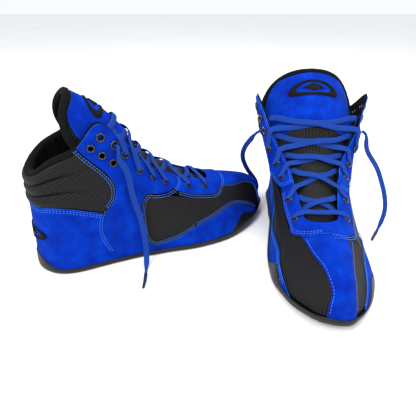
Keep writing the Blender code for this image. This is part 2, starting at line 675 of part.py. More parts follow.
# ---------------------------------------------------------------- the tongue
def tongue_edge(t, inset=0.0):
    """Half width of the tongue at a row, as a share of the full width, round at the tip."""
    run = np.clip((t - TIP_START) / (TIP_ROW - TIP_START - inset), 0, 1)
    return (1 - run ** 2.6) ** (1 / 2.6) * (1 - inset)


def add_tongue_piece(boot, name, rows, inset, lift, thickness, material, bow=0.0, width=1.0,
                     count=7, gather=1.6):
    """A stretch of the tongue. bow raises the lower edge towards the sides."""
    columns = np.linspace(-1, 1, 9)
    low, high = rows
    share = 1 - (1 - np.linspace(0, 1, count)) ** gather
    start = low + bow * columns ** 2
    t = start + (high - start) * share[:, None]
    a = columns * tongue_edge(t, inset) * width
    points = boot.world(boot.tongue_point(a, t, lift)).reshape(-1, 3)
    n = len(columns)
    faces = [(r * n + k, r * n + k + 1, (r + 1) * n + k + 1, (r + 1) * n + k)
             for r in range(len(share) - 1) for k in range(n - 1)]
    return add_shell(f"{boot.name}_{name}", [(points, faces, boot.mirror < 0)], thickness,
                     material)


def make_tongue(boot):
    half = TONGUE_THICKNESS / 2
    add_tongue_piece(boot, "tongue_base", (0.2, TONGUE_SPLIT - 0.1), 0.0, -half, TONGUE_THICKNESS,
                     "black_mesh", width=0.96, count=14, gather=1.0)
    tip = TIP_ROW - 0.40
    add_tongue_piece(boot, "tongue_flap", (TONGUE_SPLIT + 0.05, tip), 0.10, -half,
                     TONGUE_THICKNESS, "black_mesh", bow=0.30)
    add_tongue_piece(boot, "tongue_patch", (TONGUE_SPLIT + 0.20, tip - 0.10), 0.15,
                     half + CLEARANCE, SUEDE_THICKNESS, "blue_suede", bow=0.20)
    add_tongue_piece(boot, "tongue_emblem", (7.35, 7.75), 0.0,
                     half + SUEDE_THICKNESS + 2 * CLEARANCE, 0.6, "black_thread", width=0.45)
    rows = TIP_START + (TIP_ROW - TIP_START) * np.sin(np.linspace(0.04, math.pi / 2, 13))
    side = np.column_stack([tongue_edge(rows, 0.0), rows])
    loop = np.vstack([side * (-1, 1), side[::-1][1:]])
    path = boot.world(boot.tongue_point(loop[:, 0], loop[:, 1]))
    add_tube(f"{boot.name}_tongue_binding", path, 3.0, "black_lining", resolution=1)


# ---------------------------------------------------------------- the lace
def lace_route(boot):
    """The laced run, from the top medial eyelet down to the straight bar and up again.

    Every strand leaves an eyelet on the outside, crosses the tongue and comes up through the
    next eyelet of the other side. One strand of each crossing passes over the other.
    """
    over_medial = (False, True, True, False, True, False)

    def tongue_top(s, height, across=0.0):
        t = np.interp(s, (0.34, 0.40, 0.46, 0.52, 0.58, 0.64, 0.69, 0.735),
                      (7, 6, 5, 4, 3, 2, 1, 0))
        return boot.tongue_point(across, t, TONGUE_THICKNESS / 2 + LACE_RADIUS + height)

    def through(index, side):
        s, v = FRONT_EYELETS[index]
        return [boot.upper(s, v, side, lift) for lift in (-5.2, -1.4, 1.8, 4.9)]

    def crossing(index, side):
        """From eyelet index on one side to eyelet index + 1 on the other."""
        s0, v0 = FRONT_EYELETS[index]
        s1, v1 = FRONT_EYELETS[index + 1]
        on_top = over_medial[index] == (side > 0)
        if index > 0:
            steps = [boot.upper(0.75 * s0 + 0.25 * s1, 0.985, side, 4.9)]
        else:
            steps = [boot.upper(0.8 * s0 + 0.2 * s1, 0.95, side, -5.0)]
        rise = 4.4 if on_top else 1.0
        for share in (0.3, 0.5, 0.7):
            steps.append(tongue_top(s0 + (s1 - s0) * share, rise, side * (1 - 2 * share)))
        steps.append(boot.upper(0.2 * s0 + 0.8 * s1, 0.955, -side, -4.6))
        return steps

    def strand(side):
        points = list(reversed(through(0, side)))
        for index in range(boot.laced - 1):
            points += crossing(index, side)
            side = -side
            points += through(index + 1, side)
        return points

    bar = [boot.upper(0.703, 0.97, 1, 4.9), tongue_top(0.705, 6.5),
           boot.upper(0.703, 0.97, -1, 4.9)]
    route = list(reversed(strand(1))) + bar + strand(-1)
    return np.array(route)


# Free ends of the laces, in each boot's frame (mm): they leave the top laced eyelet, hang
# down and rest on the floor.
FREE_ENDS = {
    ("left", "medial"): ((91, 47, 130), (95, 48, 118), (99, 48, 90), (104, 50, 60),
                         (106, 53, 25), (104, 58, 8), (100, 67, 2.6), (94, 82, 2.4),
                         (88, 94, 2.4)),
    ("left", "lateral"): ((91, -47, 130), (95, -51, 116), (101, -54, 93), (106, -56, 65),
                          (109, -58, 35), (108, -62, 12), (100, -70, 2.6), (86, -76, 2.4)),
    ("right", "medial"): ((98, 68, 107), (101, 83, 84), (105, 93, 65), (110, 100, 46),
                          (115, 103, 21), (119, 99, 6), (130, 91, 2.6), (143, 82, 2.4)),
    ("right", "lateral"): ((93, -68, 115), (86, -74, 103), (76, -77, 86), (65, -73, 69),
                           (55, -65, 52), (45, -55, 35), (38, -51, 18), (30, -54, 6),
                           (18, -62, 2.6), (2, -72, 2.4)),
}


def free_end_route(boot, word):
    """The smooth route of one free end, from its eyelet to the tip of its aglet."""
    side = 1 if word == "medial" else -1
    s, v = FRONT_EYELETS[boot.laced - 1]
    start = boot.upper(s, v, side, 4.9)
    step = boot.upper(s, v, side, 7.1)
    points = np.vstack([start, (start + step) / 2, FREE_ENDS[boot.name, word]])
    return sample_path(points, 200)


def cut_path(path, start, end, count):
    """Evenly spaced points of a path, between two lengths along it."""
    along = np.concatenate([[0], np.cumsum(np.linalg.norm(np.diff(path, axis=0), axis=1))])
    place = np.linspace(start, end, count)
    return np.column_stack([np.interp(place, along, path[:, k]) for k in range(3)])


def make_laces(boot):
    route = lace_route(boot)
    add_tube(f"{boot.name}_lace", boot.world(route), LACE_RADIUS, "blue_lace", resolution=0)
    for word in ("medial", "lateral"):
        path = free_end_route(boot, word)
        length = np.linalg.norm(np.diff(path, axis=0), axis=1).sum()
        cut = length - AGLET_LENGTH
        add_tube(f"{boot.name}_{word}_lace_end", boot.world(cut_path(path, 2.2, cut - 0.9, 24)),
                 LACE_RADIUS + 0.4, "blue_lace", resolution=1)
        add_tube(f"{boot.name}_{word}_aglet", boot.world(cut_path(path, cut, length, 3)),
                 AGLET_RADIUS, "navy_plastic", resolution=1)


# ---------------------------------------------------------------- build
def clear_scene():
    for item in list(bpy.data.objects):
        bpy.data.objects.remove(item)


def make_collection(name):
    collection = bpy.data.collections.new(name)
    bpy.context.scene.collection.children.link(collection)
    return collection


clear_scene()
COLLECTION = make_collection("boxing_boots")
MATERIALS = {name: make_material(name) for name in FINISHES}
for settings in BOOTS:
    one = Boot(**settings)
    make_sole(one)
    make_mesh_upper(one)
    make_heel_and_collar(one)
    make_suede(one)
    make_eyelets(one)
    make_tongue(one)
    make_laces(one)
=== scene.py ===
"""The looks of a pair of boxing boots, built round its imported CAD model."""
import math

import bmesh
import bpy
import numpy as np
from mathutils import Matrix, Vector, geometry


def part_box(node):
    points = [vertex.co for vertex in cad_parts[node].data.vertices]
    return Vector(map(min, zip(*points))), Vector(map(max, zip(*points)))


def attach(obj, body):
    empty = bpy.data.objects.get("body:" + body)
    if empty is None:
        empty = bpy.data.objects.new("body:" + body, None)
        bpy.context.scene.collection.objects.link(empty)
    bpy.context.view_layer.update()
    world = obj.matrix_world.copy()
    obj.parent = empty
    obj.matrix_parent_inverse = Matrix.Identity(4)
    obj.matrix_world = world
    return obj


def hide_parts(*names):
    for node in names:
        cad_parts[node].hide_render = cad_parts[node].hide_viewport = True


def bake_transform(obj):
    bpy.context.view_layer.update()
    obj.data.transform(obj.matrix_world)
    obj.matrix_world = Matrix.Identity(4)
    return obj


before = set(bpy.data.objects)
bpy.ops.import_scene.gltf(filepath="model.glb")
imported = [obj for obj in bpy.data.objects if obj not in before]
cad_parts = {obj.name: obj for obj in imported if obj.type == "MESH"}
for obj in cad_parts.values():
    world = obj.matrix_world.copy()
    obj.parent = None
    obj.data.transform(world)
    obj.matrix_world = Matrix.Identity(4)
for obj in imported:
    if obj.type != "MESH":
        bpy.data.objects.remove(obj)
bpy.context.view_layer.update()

# ---------------------------------------------------------------- driving dimensions (mm)
MM = 0.001
FEATHER_HEIGHT = 9.0        # lowest edge of the upper
MESH_LIFT = -2.2            # inner face of the mesh, off the rib surface
MESH_THICKNESS = 1.2
SUEDE_LIFT = 0.2            # inner face of the suede
SUEDE_THICKNESS = 1.2
RAND_LIFT = 2.1             # inner face of the rubber rand
SOLE_LIP = 3.5              # how far the rubber stands proud of the rib surface
TONGUE_DEPTH = 9.4          # tongue's edges below the facings
EYELET_SIDES = 24           # of the hole in a panel
RING_SIDES = 28             # of the metal ring
LACE_REACH = 3.2            # half the width of the flat lace
LACE_NEAR_FLOOR = 8.0       # below this height a free end settles on the floor
TAPE_RADIUS = 3.9           # of the binding round the tongue
HOLE_RADIUS = 3.2           # of an eyelet's hole in the suede
PANEL_GRID = 4.5            # spacing of a panel's inner points
BADGE_THREAD = 0.36         # radius of a badge's threads
WELD_GAP = 0.00003          # metres
THROAT = 0.76               # station where the facings meet
AGLET_LENGTH = 22.0
CAMERA_PLACE = (0.00427, -0.36274, 0.26233)    # metres, fitted to the photograph
CAMERA_TILT = 59.2
CAMERA_LENS = 30.98
FLOOR_REACH = 6.0
TONGUE_SPLIT = 6.85         # tongue row where the free flap begins
BLEND_ROWS = 0.45           # rows on each side of the split; the two points found there are not used
TIP_START = 7.0             # row where the tongue's round tip begins
TIP_ROW = 8.5               # row of the tongue's tip
PATTERN_SIZE = np.array([300.0, 110.0])    # what a pattern's station and height stand for
PATTERN_UV = PATTERN_SIZE / 10             # the same in cm

# Stations of the last. Feather line: forward, medial width, lateral width, height.
# Top line: forward, half gap, height, sideways offset. Rib shape: rise and inward lean of the lower
# handle; forward, outward and up of the upper handle. Flare: how far the top opens when loose.
STATIONS = (
    # s,    x,  ym, yl,  z,    x,  y,   z, off, rise, lean, hx, hy, hz, flare
    (0.00, -2, 0, 0, 9, 7, 0, 116, 0, 34, 3.0, -2, 0, -34, 0),
    (0.05, 6, 21, 19, 9, 11, 20, 118, 0, 34, 4.0, -1, 0, -34, 2),
    (0.11, 25, 34, 31, 9, 23, 31, 127, 0, 36, 5.0, 1, 0, -36, 6),
    (0.18, 51, 37, 33, 9, 40, 36, 135, 0, 40, 4.0, 4, 0, -36, 10),
    (0.24, 74, 38, 34, 9, 54, 38, 142, 0, 42, 3.0, 6, 1, -38, 17),
    (0.28, 88, 39, 35, 9, 65, 39, 154, 0, 42, 2.5, 9, 2, -44, 22),
    (0.32, 100, 40, 35, 9, 78, 38, 163, 0, 42, 2.0, 10, 3, -50, 26),
    (0.36, 110, 42, 36, 9, 92, 34, 150, 0, 40, 2.0, 8, 5, -42, 23),
    (0.41, 121, 44, 38, 9, 104, 32, 136, 0, 38, 2.0, 4, 10, -34, 19),
    (0.47, 137, 47, 41, 9, 114, 33, 118, 0, 34, 3.0, 3, 14, -26, 8),
    (0.53, 154, 51, 44, 9, 130, 28, 102, -1, 30, 4.0, 3, 15, -18, 2),
    (0.59, 171, 54, 47, 9, 148, 24, 90, -2, 26, 5.0, 2, 16, -12, 0),
    (0.65, 190, 55, 49, 9, 172, 20, 77, -3, 22, 6.0, 2, 16, -7, 0),
    (0.71, 208, 54, 49, 9, 194, 17, 69, -4, 20, 6.0, 2, 16, -4, 0),
    (0.76, 222, 51, 48, 10, 206, 15, 66, -5, 20, 6.0, 2, 22, 0, 0),
    (0.82, 240, 44, 42, 11, 222, 0, 64, -4, 20, 6.0, 3, 22, 0, 0),
    (0.87, 255, 36, 35, 12, 238, 0, 61, -3, 19, 6.0, 3, 20, 0, 0),
    (0.92, 269, 25, 25, 14, 254, 0, 57, -2, 18, 5.5, 4, 16, 0, 0),
    (0.96, 279, 15, 14, 15, 268, 0, 52, 0, 17, 5.0, 5, 10, 0, 0),
    (1.00, 285, 4, 4, 16, 278, 0, 45, 2, 14, 4.0, 5, 0, 0, 0),
)
LATERAL_ROOM = 7.0          # the ankle stands out further on the lateral side

# Eyelets of one facing, as station and height: eight along the edge, three behind them.
FRONT_EYELETS = ((0.700, 0.80), (0.636, 0.82), (0.553, 0.815), (0.503, 0.835),
                 (0.440, 0.81), (0.375, 0.85), (0.342, 0.865), (0.311, 0.905))
REAR_EYELETS = ((0.320, 0.735), (0.298, 0.805), (0.279, 0.895))

# Pattern edges, as station and height.
COUNTER_TOP = ((0.0, 0.680), (0.08, 0.635), (0.155, 0.545), (0.243, 0.420))
COUNTER_FRONT = ((0.243, 0.420), (0.226, 0.33), (0.222, 0.20), (0.240, 0.03))
QUARTER_REAR = ((0.243, 0.985), (0.252, 0.92), (0.277, 0.77), (0.296, 0.66), (0.302, 0.575),
                (0.292, 0.51), (0.256, 0.435))
QUARTER_SEAM = ((0.256, 0.435), (0.233, 0.33), (0.229, 0.20), (0.247, 0.03))
WINDOW_REAR = ((0.587, 0.212), (0.510, 0.095), (0.448, 0.045), (0.395, 0.040), (0.362, 0.11),
               (0.357, 0.254), (0.373, 0.417), (0.402, 0.51), (0.45, 0.596), (0.525, 0.655),
               (0.572, 0.725), (0.603, 0.860), (0.608, 0.985))
FOXING = {"medial": ((0.915, 0.03), (0.890, 0.12), (0.835, 0.300), (0.748, 0.360), (0.667, 0.300),
                     (0.587, 0.212)),
          "lateral": ((0.855, 0.03), (0.800, 0.10), (0.743, 0.220), (0.690, 0.290),
                      (0.640, 0.275), (0.587, 0.212))}
VAMP_LOWER = ((0.592, 0.700), (0.640, 0.665), (0.700, 0.640), (0.740, 0.635), (0.785, 0.700),
              (0.812, 0.850), (0.822, 1.0))

SOLE_EDGE = -0.05              # how far under the feather line the rubber lip begins
SUEDE_FOOT = -0.035            # the suede tucks in behind the rubber
PATCH_ROW = 6.15               # lowest row of the suede on the tongue
COLLAR_HEIGHT = 0.965          # height at which the collar's roll sits

# Where each boot's heel stands, which way it points (degrees), how loose its top is and how many
# pairs of eyelets its lace goes through.
BOOTS = (
    dict(name="left", mirror=-1, heel=(-183.3, -42.4), yaw=26.4, flare=0.0, laced=7),
    dict(name="right", mirror=1, heel=(127.2, 141.5), yaw=-91.1, flare=1.0, laced=6),
)

# ---------------------------------------------------------------- curves
def smooth_curve(knots, points, closed=False):
    """The cubic spline through the points, as a function of the knot value."""
    knots = np.asarray(knots, float)
    points = np.asarray(points, float)
    step = np.diff(knots)
    rise = np.diff(points, axis=0) / step[:, None]
    count = len(knots)
    system = np.zeros((count, count))
    right = np.zeros_like(points)
    for i in range(1, count - 1):
        system[i, i - 1:i + 2] = step[i], 2 * (step[i - 1] + step[i]), step[i - 1]
        right[i] = 3 * (step[i] * rise[i - 1] + step[i - 1] * rise[i])
    if closed:
        system[0, 0] = 2 * (step[-1] + step[0])
        system[0, 1] = step[-1]
        system[0, -2] = step[0]
        right[0] = 3 * (step[0] * rise[-1] + step[-1] * rise[0])
        system[-1, 0] = 1
        system[-1, -1] = -1
    else:
        system[0, :2] = 2, 1
        right[0] = 3 * rise[0]
        system[-1, -2:] = 1, 2
        right[-1] = 3 * rise[-1]
    slope = np.linalg.solve(system, right)

    def evaluate(t):
        t = np.asarray(t, float)
        i = np.clip(np.searchsorted(knots, t, side="right") - 1, 0, count - 2)
        width = step[i][..., None]
        x = ((t - knots[i]) / step[i])[..., None]
        return ((1 + 2 * x) * (1 - x) ** 2 * points[i] + x * (1 - x) ** 2 * width * slope[i]
                + x * x * (3 - 2 * x) * points[i + 1] + x * x * (x - 1) * width * slope[i + 1])

    return evaluate


def unit(vectors):
    return vectors / np.linalg.norm(vectors, axis=-1, keepdims=True)


def lengths_along(path):
    """How far along the path each of its points lies."""
    return np.concatenate([[0], np.cumsum(np.linalg.norm(np.diff(path, axis=0), axis=1))])


def points_at(places, knots, points):
    """Points read off the straight runs between the given ones."""
    return np.column_stack([np.interp(places, knots, points[:, k]) for k in range(3)])


def sample_path(points, count):
    """Evenly spaced points of the smooth curve through given points."""
    points = np.asarray(points, float)
    chord = lengths_along(points)
    return smooth_curve(chord, points)(np.linspace(0, chord[-1], count))


def pattern_edge(points, count):
    """One edge of a flat pattern, scaled so that its two directions are alike."""
    return sample_path(np.asarray(points) * PATTERN_SIZE, count) / PATTERN_SIZE


def joined_edges(*edges):
    """Edges that follow each other, each given as its points and a count, as one line."""
    lines = [pattern_edge(points, count) for points, count in edges]
    return np.vstack(lines[:1] + [line[1:] for line in lines[1:]])


# ---------------------------------------------------------------- the boot's surface
class Boot:
    """One boot's rib surface, its tongue and its place on the floor."""

    def __init__(self, name, mirror, heel, yaw, flare, laced):
        self.name = name
        self.mirror = mirror
        self.heel = np.array([*heel, 0.0])
        angle = math.radians(yaw)
        self.forward = np.array([math.cos(angle), math.sin(angle), 0.0])
        self.medial = np.array([-math.sin(angle), math.cos(angle), 0.0]) * mirror
        self.laced = laced
        self.curves = self.rib_curves(flare)
        self.tongue = self.tongue_curves()

    def world(self, points):
        """Boot frame in mm to world frame in metres."""
        points = np.asarray(points, float)
        across = points[..., :1] * self.forward + points[..., 1:2] * self.medial
        return (self.heel + across + points[..., 2:3] * np.array([0, 0, 1.0])) * MM

    @staticmethod
    def rib_curves(flare):
        table = np.array(STATIONS, float)
        s = table[:, 0]
        loose = flare * table[:, 14]
        room = LATERAL_ROOM * np.sin(np.pi * np.clip((s - 0.04) / 0.66, 0, 1)) ** 2

        def ring(medial, lateral):
            return np.vstack([medial, lateral[-2::-1]])

        low_m = table[:, [1, 2, 4]]
        low_l = table[:, [1, 3, 4]] * (1, -1, 1)
        low_l[-1] = low_m[-1]
        low = ring(low_m, low_l)
        gap = table[:, 6] + loose
        top_m = np.column_stack([table[:, 5], gap, table[:, 7]])
        top = ring(top_m, top_m * (1, -1, 1))
        run = np.gradient(low[:, :2], axis=0)
        run[0] = run[-1] = (0, 1)
        inward = np.column_stack([run[:, 1], -run[:, 0]])
        inward = unit(inward)
        lean = np.concatenate([table[:, 10], (table[:, 10] + room)[-2::-1]])
        rise = np.concatenate([table[:, 9], table[-2::-1, 9]])
        low_handle = low + np.column_stack([inward * lean[:, None], rise])
        reach = table[:, 12] - 0.55 * loose
        high_m = np.column_stack([table[:, 11], reach, table[:, 13]])
        high_l = np.column_stack([table[:, 11], -reach - room, table[:, 13]])
        high = ring(high_m, high_l)
        shift = ring(table[:, 8:9], table[:, 8:9])
        turn = np.concatenate([s, 2 - s[-2::-1]])
        return [smooth_curve(turn, values, closed=True)
                for values in (low, low_handle, top, high, shift)]

    def upper(self, s, v, side, lift=0.0):
        """A point of the upper, in the boot's frame."""
        s, v = np.broadcast_arrays(np.asarray(s, float), np.asarray(v, float))
        point = self.bare_upper(s, v, side)
        if not np.any(lift):
            return point
        # Both sides share one normal along the ridge of the toe.
        share = 0.5 * np.clip((v - 0.85) / 0.15, 0, 1) * (s >= THROAT)
        normal = (self.normal(s, v, side) * (1 - share)[..., None]
                  + self.normal(s, v, -side) * share[..., None])
        normal = unit(normal)
        return point + normal * np.asarray(lift, float)[..., None]

    def normal(self, s, v, side):
        h = 0.004
        near = np.clip(v, 0.0, 0.97)
        along = self.bare_upper(s + h, near, side) - self.bare_upper(s - h, near, side)
        up = self.bare_upper(s, near + h, side) - self.bare_upper(s, near - h, side)
        normal = np.cross(up, along) * side
        return unit(normal)

    def bare_upper(self, s, v, side):
        turn = (s if side > 0 else 2 - s) % 2.0
        station = np.where(turn <= 1, turn, 2 - turn)
        low, low_handle, top, high, shift = [curve(turn) for curve in self.curves]
        # The gap between the facings closes in a round end at the throat, and stays shut.
        round_end = np.clip((station - THROAT + 0.05) / 0.05, 0, 1)
        opening = np.where(station < THROAT, np.sqrt(1 - round_end ** 2), 0.0)
        soft = np.clip((0.87 - station) / 0.22, 0, 1)
        soft = soft * soft * (3 - 2 * soft)
        middle = top.copy()
        middle[..., 1] = middle[..., 1] * soft + shift[..., 0]
        top = top * np.stack([np.ones_like(opening), opening, np.ones_like(opening)], -1)
        top[..., 1] += shift[..., 0]
        v = v[..., None]
        return ((1 - v) ** 3 * low + 3 * v * (1 - v) ** 2 * low_handle
                + 3 * v * v * (1 - v) * (middle + high) + v ** 3 * top)

    # The tongue is a second surface: row t from under the vamp (0) to its tip, and across a
    # from the lateral edge (-1) to the medial edge (+1).
    def tongue_curves(self):
        rows = np.array([0.735, 0.69, 0.64, 0.58, 0.52, 0.46, 0.40, 0.34])
        proud = np.array([-7.0, -3.0, 0.0, 2.0, 3.0, 4.0, 4.5, 5.0])
        top_m = self.upper(rows, 1.0, 1)
        top_l = self.upper(rows, 1.0, -1)
        centre = (top_m + top_l) / 2
        run = np.gradient(centre[:, [0, 2]], axis=0)
        run = unit(run)
        centre += np.column_stack([run[:, 1], 0 * proud, -run[:, 0]]) * proud[:, None]
        low = np.array([0.70, 0.70, 0.68, 0.68, 0.70, 0.70, 0.74, 0.80])
        edge_m = self.upper(rows, low, 1, -TONGUE_DEPTH)
        edge_l = self.upper(rows, low, -1, -TONGUE_DEPTH)
        tip = np.array([58.0, 0.0, 184.0])
        wide = 0.92 * edge_m[-1, 1]
        knots = np.append(np.arange(8.0), 8.5)
        centre = np.vstack([centre, tip])
        edge_m = np.vstack([edge_m, (49.0, wide, 171.0)])
        edge_l = np.vstack([edge_l, (49.0, -wide, 171.0)])
        return [smooth_curve(knots, values) for values in (centre, edge_m, edge_l)]

    def tongue_point(self, a, t, lift=0.0):
        a, t = np.broadcast_arrays(np.asarray(a, float), np.asarray(t, float))
        h = 0.01
        point = self.bare_tongue(a, t)
        if not np.any(lift):
            return point
        across = self.bare_tongue(a + h, t) - self.bare_tongue(a - h, t)
        up = self.bare_tongue(a, t + h) - self.bare_tongue(a, t - h)
        normal = np.cross(across, up)
        normal = unit(normal)
        return point + normal * np.asarray(lift, float)[..., None]

    def bare_tongue(self, a, t):
        centre, edge_m, edge_l = [curve(t) for curve in self.tongue]
        edge = np.where((a > 0)[..., None], edge_m, edge_l)
        a = np.abs(a)[..., None]
        bend = np.concatenate([a ** 2, a, a ** 2], axis=-1)
        return centre + (edge - centre) * bend


def inside(points, loop):
    """Which points lie inside a closed loop of a flat pattern."""
    x, y = points[:, 0], points[:, 1]
    result = np.zeros(len(points), bool)
    for (x1, y1), (x2, y2) in zip(loop, np.roll(loop, -1, axis=0)):
        if y1 != y2:
            crosses = ((y1 > y) != (y2 > y)) & (x < (x2 - x1) * (y - y1) / (y2 - y1) + x1)
            result ^= crosses
    return result


def fill_pattern(loop, spacing, holes=()):
    """Triangles over a flat pattern, with inner points on a grid and round holes left out."""
    loops = [np.asarray(ring) * PATTERN_SIZE for ring in (loop, *holes)]
    outer = loops[0]
    low, high = outer.min(axis=0), outer.max(axis=0)
    grid_x, grid_y = np.meshgrid(np.arange(low[0], high[0], spacing) + spacing / 2,
                                 np.arange(low[1], high[1], spacing) + spacing / 2)
    grid = np.column_stack([grid_x.ravel(), grid_y.ravel()])
    grid = grid[inside(grid, outer)]
    for ring in loops:
        apart = np.linalg.norm(grid[:, None] - ring[None], axis=2).min(axis=1)
        grid = grid[apart > 0.45 * spacing]
    for ring in loops[1:]:
        grid = grid[~inside(grid, ring)]
    flat, edges = [], []
    for ring in loops:
        first = len(flat)
        flat.extend(ring)
        edges.extend((first + i, first + (i + 1) % len(ring)) for i in range(len(ring)))
    flat.extend(grid)
    result = geometry.delaunay_2d_cdt([Vector(p) for p in flat], edges, [], 1, 1e-5)
    points = np.array([tuple(p) for p in result[0]])
    faces = [tuple(face) for face in result[2]]
    middles = np.array([points[list(face)].mean(axis=0) for face in faces])
    kept = inside(middles, outer)
    for ring in loops[1:]:
        kept &= ~inside(middles, ring)
    return points / PATTERN_SIZE, [face for face, keep in zip(faces, kept) if keep]


def slopes(boot, s, v, side, h):
    """How a point of the upper moves with its station and with its height."""
    along = boot.upper(s + h, v, side) - boot.upper(s - h, v, side)
    up = boot.upper(s, np.minimum(v + h, 0.999), side) - boot.upper(s, v - h, side)
    return along / (2 * h), up / (2 * h)


def eyelet_holes(boot, side, eyelets, radius):
    """Round holes of a pattern, in station and height."""
    holes = []
    turn = np.linspace(0, 2 * math.pi, EYELET_SIDES, endpoint=False)
    for s, v in eyelets:
        along, up = slopes(boot, s, v, side, 0.01)
        across = unit(along)
        square = up - across * (up @ across)
        square = unit(square)
        ring = radius * (np.outer(np.cos(turn), across) + np.outer(np.sin(turn), square))
        steps = ring @ np.linalg.pinv(np.array([along, up]))
        holes.append(np.array((s, v)) + steps)
    return holes


def both_sides(count):
    """Stations once around the boot, closer at the heel and toe, with the side of each."""
    turn = np.linspace(0, 2, count, endpoint=False)
    turn -= 0.55 * np.sin(2 * math.pi * turn) / (2 * math.pi)
    return np.where(turn <= 1, turn, 2 - turn), np.where(turn <= 1, 1, -1)


def around(boot, count, height, lift):
    """A loop of the upper's surface around the whole boot."""
    s, side = both_sides(count)
    v = np.broadcast_to(height, s.shape)
    out = np.empty((count, 3))
    for sign in (1, -1):
        mine = side == sign
        out[mine] = boot.upper(s[mine], v[mine], sign, lift)
    return out


def sole_loop(boot, count, offset, height):
    """A loop at a height over the sole's underside, offset sideways from the feather line."""
    base = around(boot, count, 0.0, 0.0)
    run = np.roll(base, -1, axis=0) - np.roll(base, 1, axis=0)
    outward = np.column_stack([-run[:, 1], run[:, 0], 0 * run[:, 0]])
    outward = unit(outward)
    loop = base + outward * offset
    loop[:, 2] = np.maximum(base[:, 2] - FEATHER_HEIGHT, 0) + height
    return loop


def mesh_top(s):
    """Top edge of the mesh: the collar, then under the facings' stays, then the toe ridge."""
    return np.interp(s, (0.235, 0.262, 0.29, 0.36, 0.55, 0.72, 0.76, 0.80),
                     (0.985, 0.84, 0.66, 0.56, 0.62, 0.60, 0.84, 1.0))


def full_height(s):
    return 0.0 * s, mesh_top(s)


# Free ends of the laces, in each boot's frame (mm): they leave the top laced eyelet, hang
# down and rest on the floor.
FREE_ENDS = {
    ("left", "medial"): ((91, 47, 130), (95, 48, 118), (99, 48, 90), (104, 50, 60),
                         (106, 53, 25), (104, 58, 8), (100, 67, 2.6), (94, 82, 2.4),
                         (88, 94, 2.4)),
    ("left", "lateral"): ((91, -47, 130), (95, -51, 116), (101, -54, 93), (106, -56, 65),
                          (109, -58, 35), (108, -62, 12), (100, -70, 2.6), (86, -76, 2.4)),
    ("right", "medial"): ((98, 68, 107), (101, 83, 84), (105, 93, 65), (110, 100, 46),
                          (115, 103, 21), (119, 99, 6), (130, 91, 2.6), (143, 82, 2.4)),
    ("right", "lateral"): ((93, -68, 115), (86, -74, 103), (76, -77, 86), (65, -73, 69),
                           (55, -65, 52), (45, -55, 35), (38, -51, 18), (30, -54, 6),
                           (18, -62, 2.6), (2, -72, 2.4)),
}


def free_end_route(boot, word):
    """The smooth route of one free end, from its eyelet to the tip of its aglet."""
    side = 1 if word == "medial" else -1
    s, v = FRONT_EYELETS[boot.laced - 1]
    start = boot.upper(s, v, side, 4.9)
    step = boot.upper(s, v, side, 7.1)
    points = np.vstack([start, (start + step) / 2, FREE_ENDS[boot.name, word]])
    return sample_path(points, 200)


# ---------------------------------------------------------------- materials
def new_material(name, colour, roughness, metallic=0.0, sheen=0.0, specular=0.5):
    material = bpy.data.materials.new(name)
    material.use_nodes = True
    shader = material.node_tree.nodes["Principled BSDF"]
    for socket, value in (("Base Color", (*colour, 1.0)), ("Roughness", roughness),
                          ("Metallic", metallic), ("Sheen Weight", sheen),
                          ("Sheen Roughness", 0.5), ("Specular IOR Level", specular)):
        shader.inputs[socket].default_value = value
    material.diffuse_color = (*colour, 1.0)
    return material, material.node_tree, shader


def add_node(tree, kind, links, values=None, **settings):
    """A node with its settings made, its constants set and its inputs linked."""
    node = tree.nodes.new(f"ShaderNode{kind}")
    for name, value in settings.items():
        setattr(node, name, value)
    for socket, value in (values or {}).items():
        node.inputs[socket].default_value = value
    for socket, source in links.items():
        tree.links.new(source, node.inputs[socket])
    return node


def coordinates(tree, kind="Object", scale=(1, 1, 1), turn=0.0):
    source = tree.nodes.new("ShaderNodeTexCoord").outputs[kind]
    return add_node(tree, "Mapping", {"Vector": source},
                    {"Scale": scale, "Rotation": (0, 0, turn)}).outputs["Vector"]


def noise(tree, vector, scale, detail=3.0):
    return add_node(tree, "TexNoise", {"Vector": vector},
                    {"Scale": scale, "Detail": detail, "Roughness": 0.6}).outputs["Fac"]


def wave(tree, vector, scale, direction="X"):
    return add_node(tree, "TexWave", {"Vector": vector}, {"Scale": scale},
                    bands_direction=direction).outputs["Fac"]


def tint(tree, shader, value, *stops):
    """The base colour, from a ramp over the value."""
    node = add_node(tree, "ValToRGB", {"Fac": value})
    while len(node.color_ramp.elements) < len(stops):
        node.color_ramp.elements.new(0.5)
    for element, (place, colour) in zip(node.color_ramp.elements, stops):
        element.position = place
        element.color = (*colour, 1.0)
    tree.links.new(node.outputs["Color"], shader.inputs["Base Color"])


def add_bump(tree, shader, *heights):
    """Bumps in a chain: (height value, strength, distance in metres)."""
    normal = {}
    for value, strength, distance in heights:
        node = add_node(tree, "Bump", {"Height": value, **normal},
                        {"Strength": strength, "Distance": distance})
        normal = {"Normal": node.outputs["Normal"]}
    tree.links.new(normal["Normal"], shader.inputs["Normal"])


def make_suede_material(name, dark, mid, light):
    material, tree, shader = new_material(name, mid, 0.95, sheen=0.06, specular=0.06)
    shader.inputs["Sheen Tint"].default_value = (0.05, 0.40, 1.0, 1.0)
    place = coordinates(tree)
    patches = noise(tree, place, 55.0, 4.0)
    nap = noise(tree, place, 1400.0, 2.0)
    mix = add_node(tree, "Math", {0: nap, 2: patches}, {1: 0.55}, operation="MULTIPLY_ADD")
    tint(tree, shader, mix.outputs[0], (0.50, dark), (0.78, mid), (1.0, light))
    add_bump(tree, shader, (nap, 0.35, 0.0004), (patches, 0.25, 0.0012))
    return material


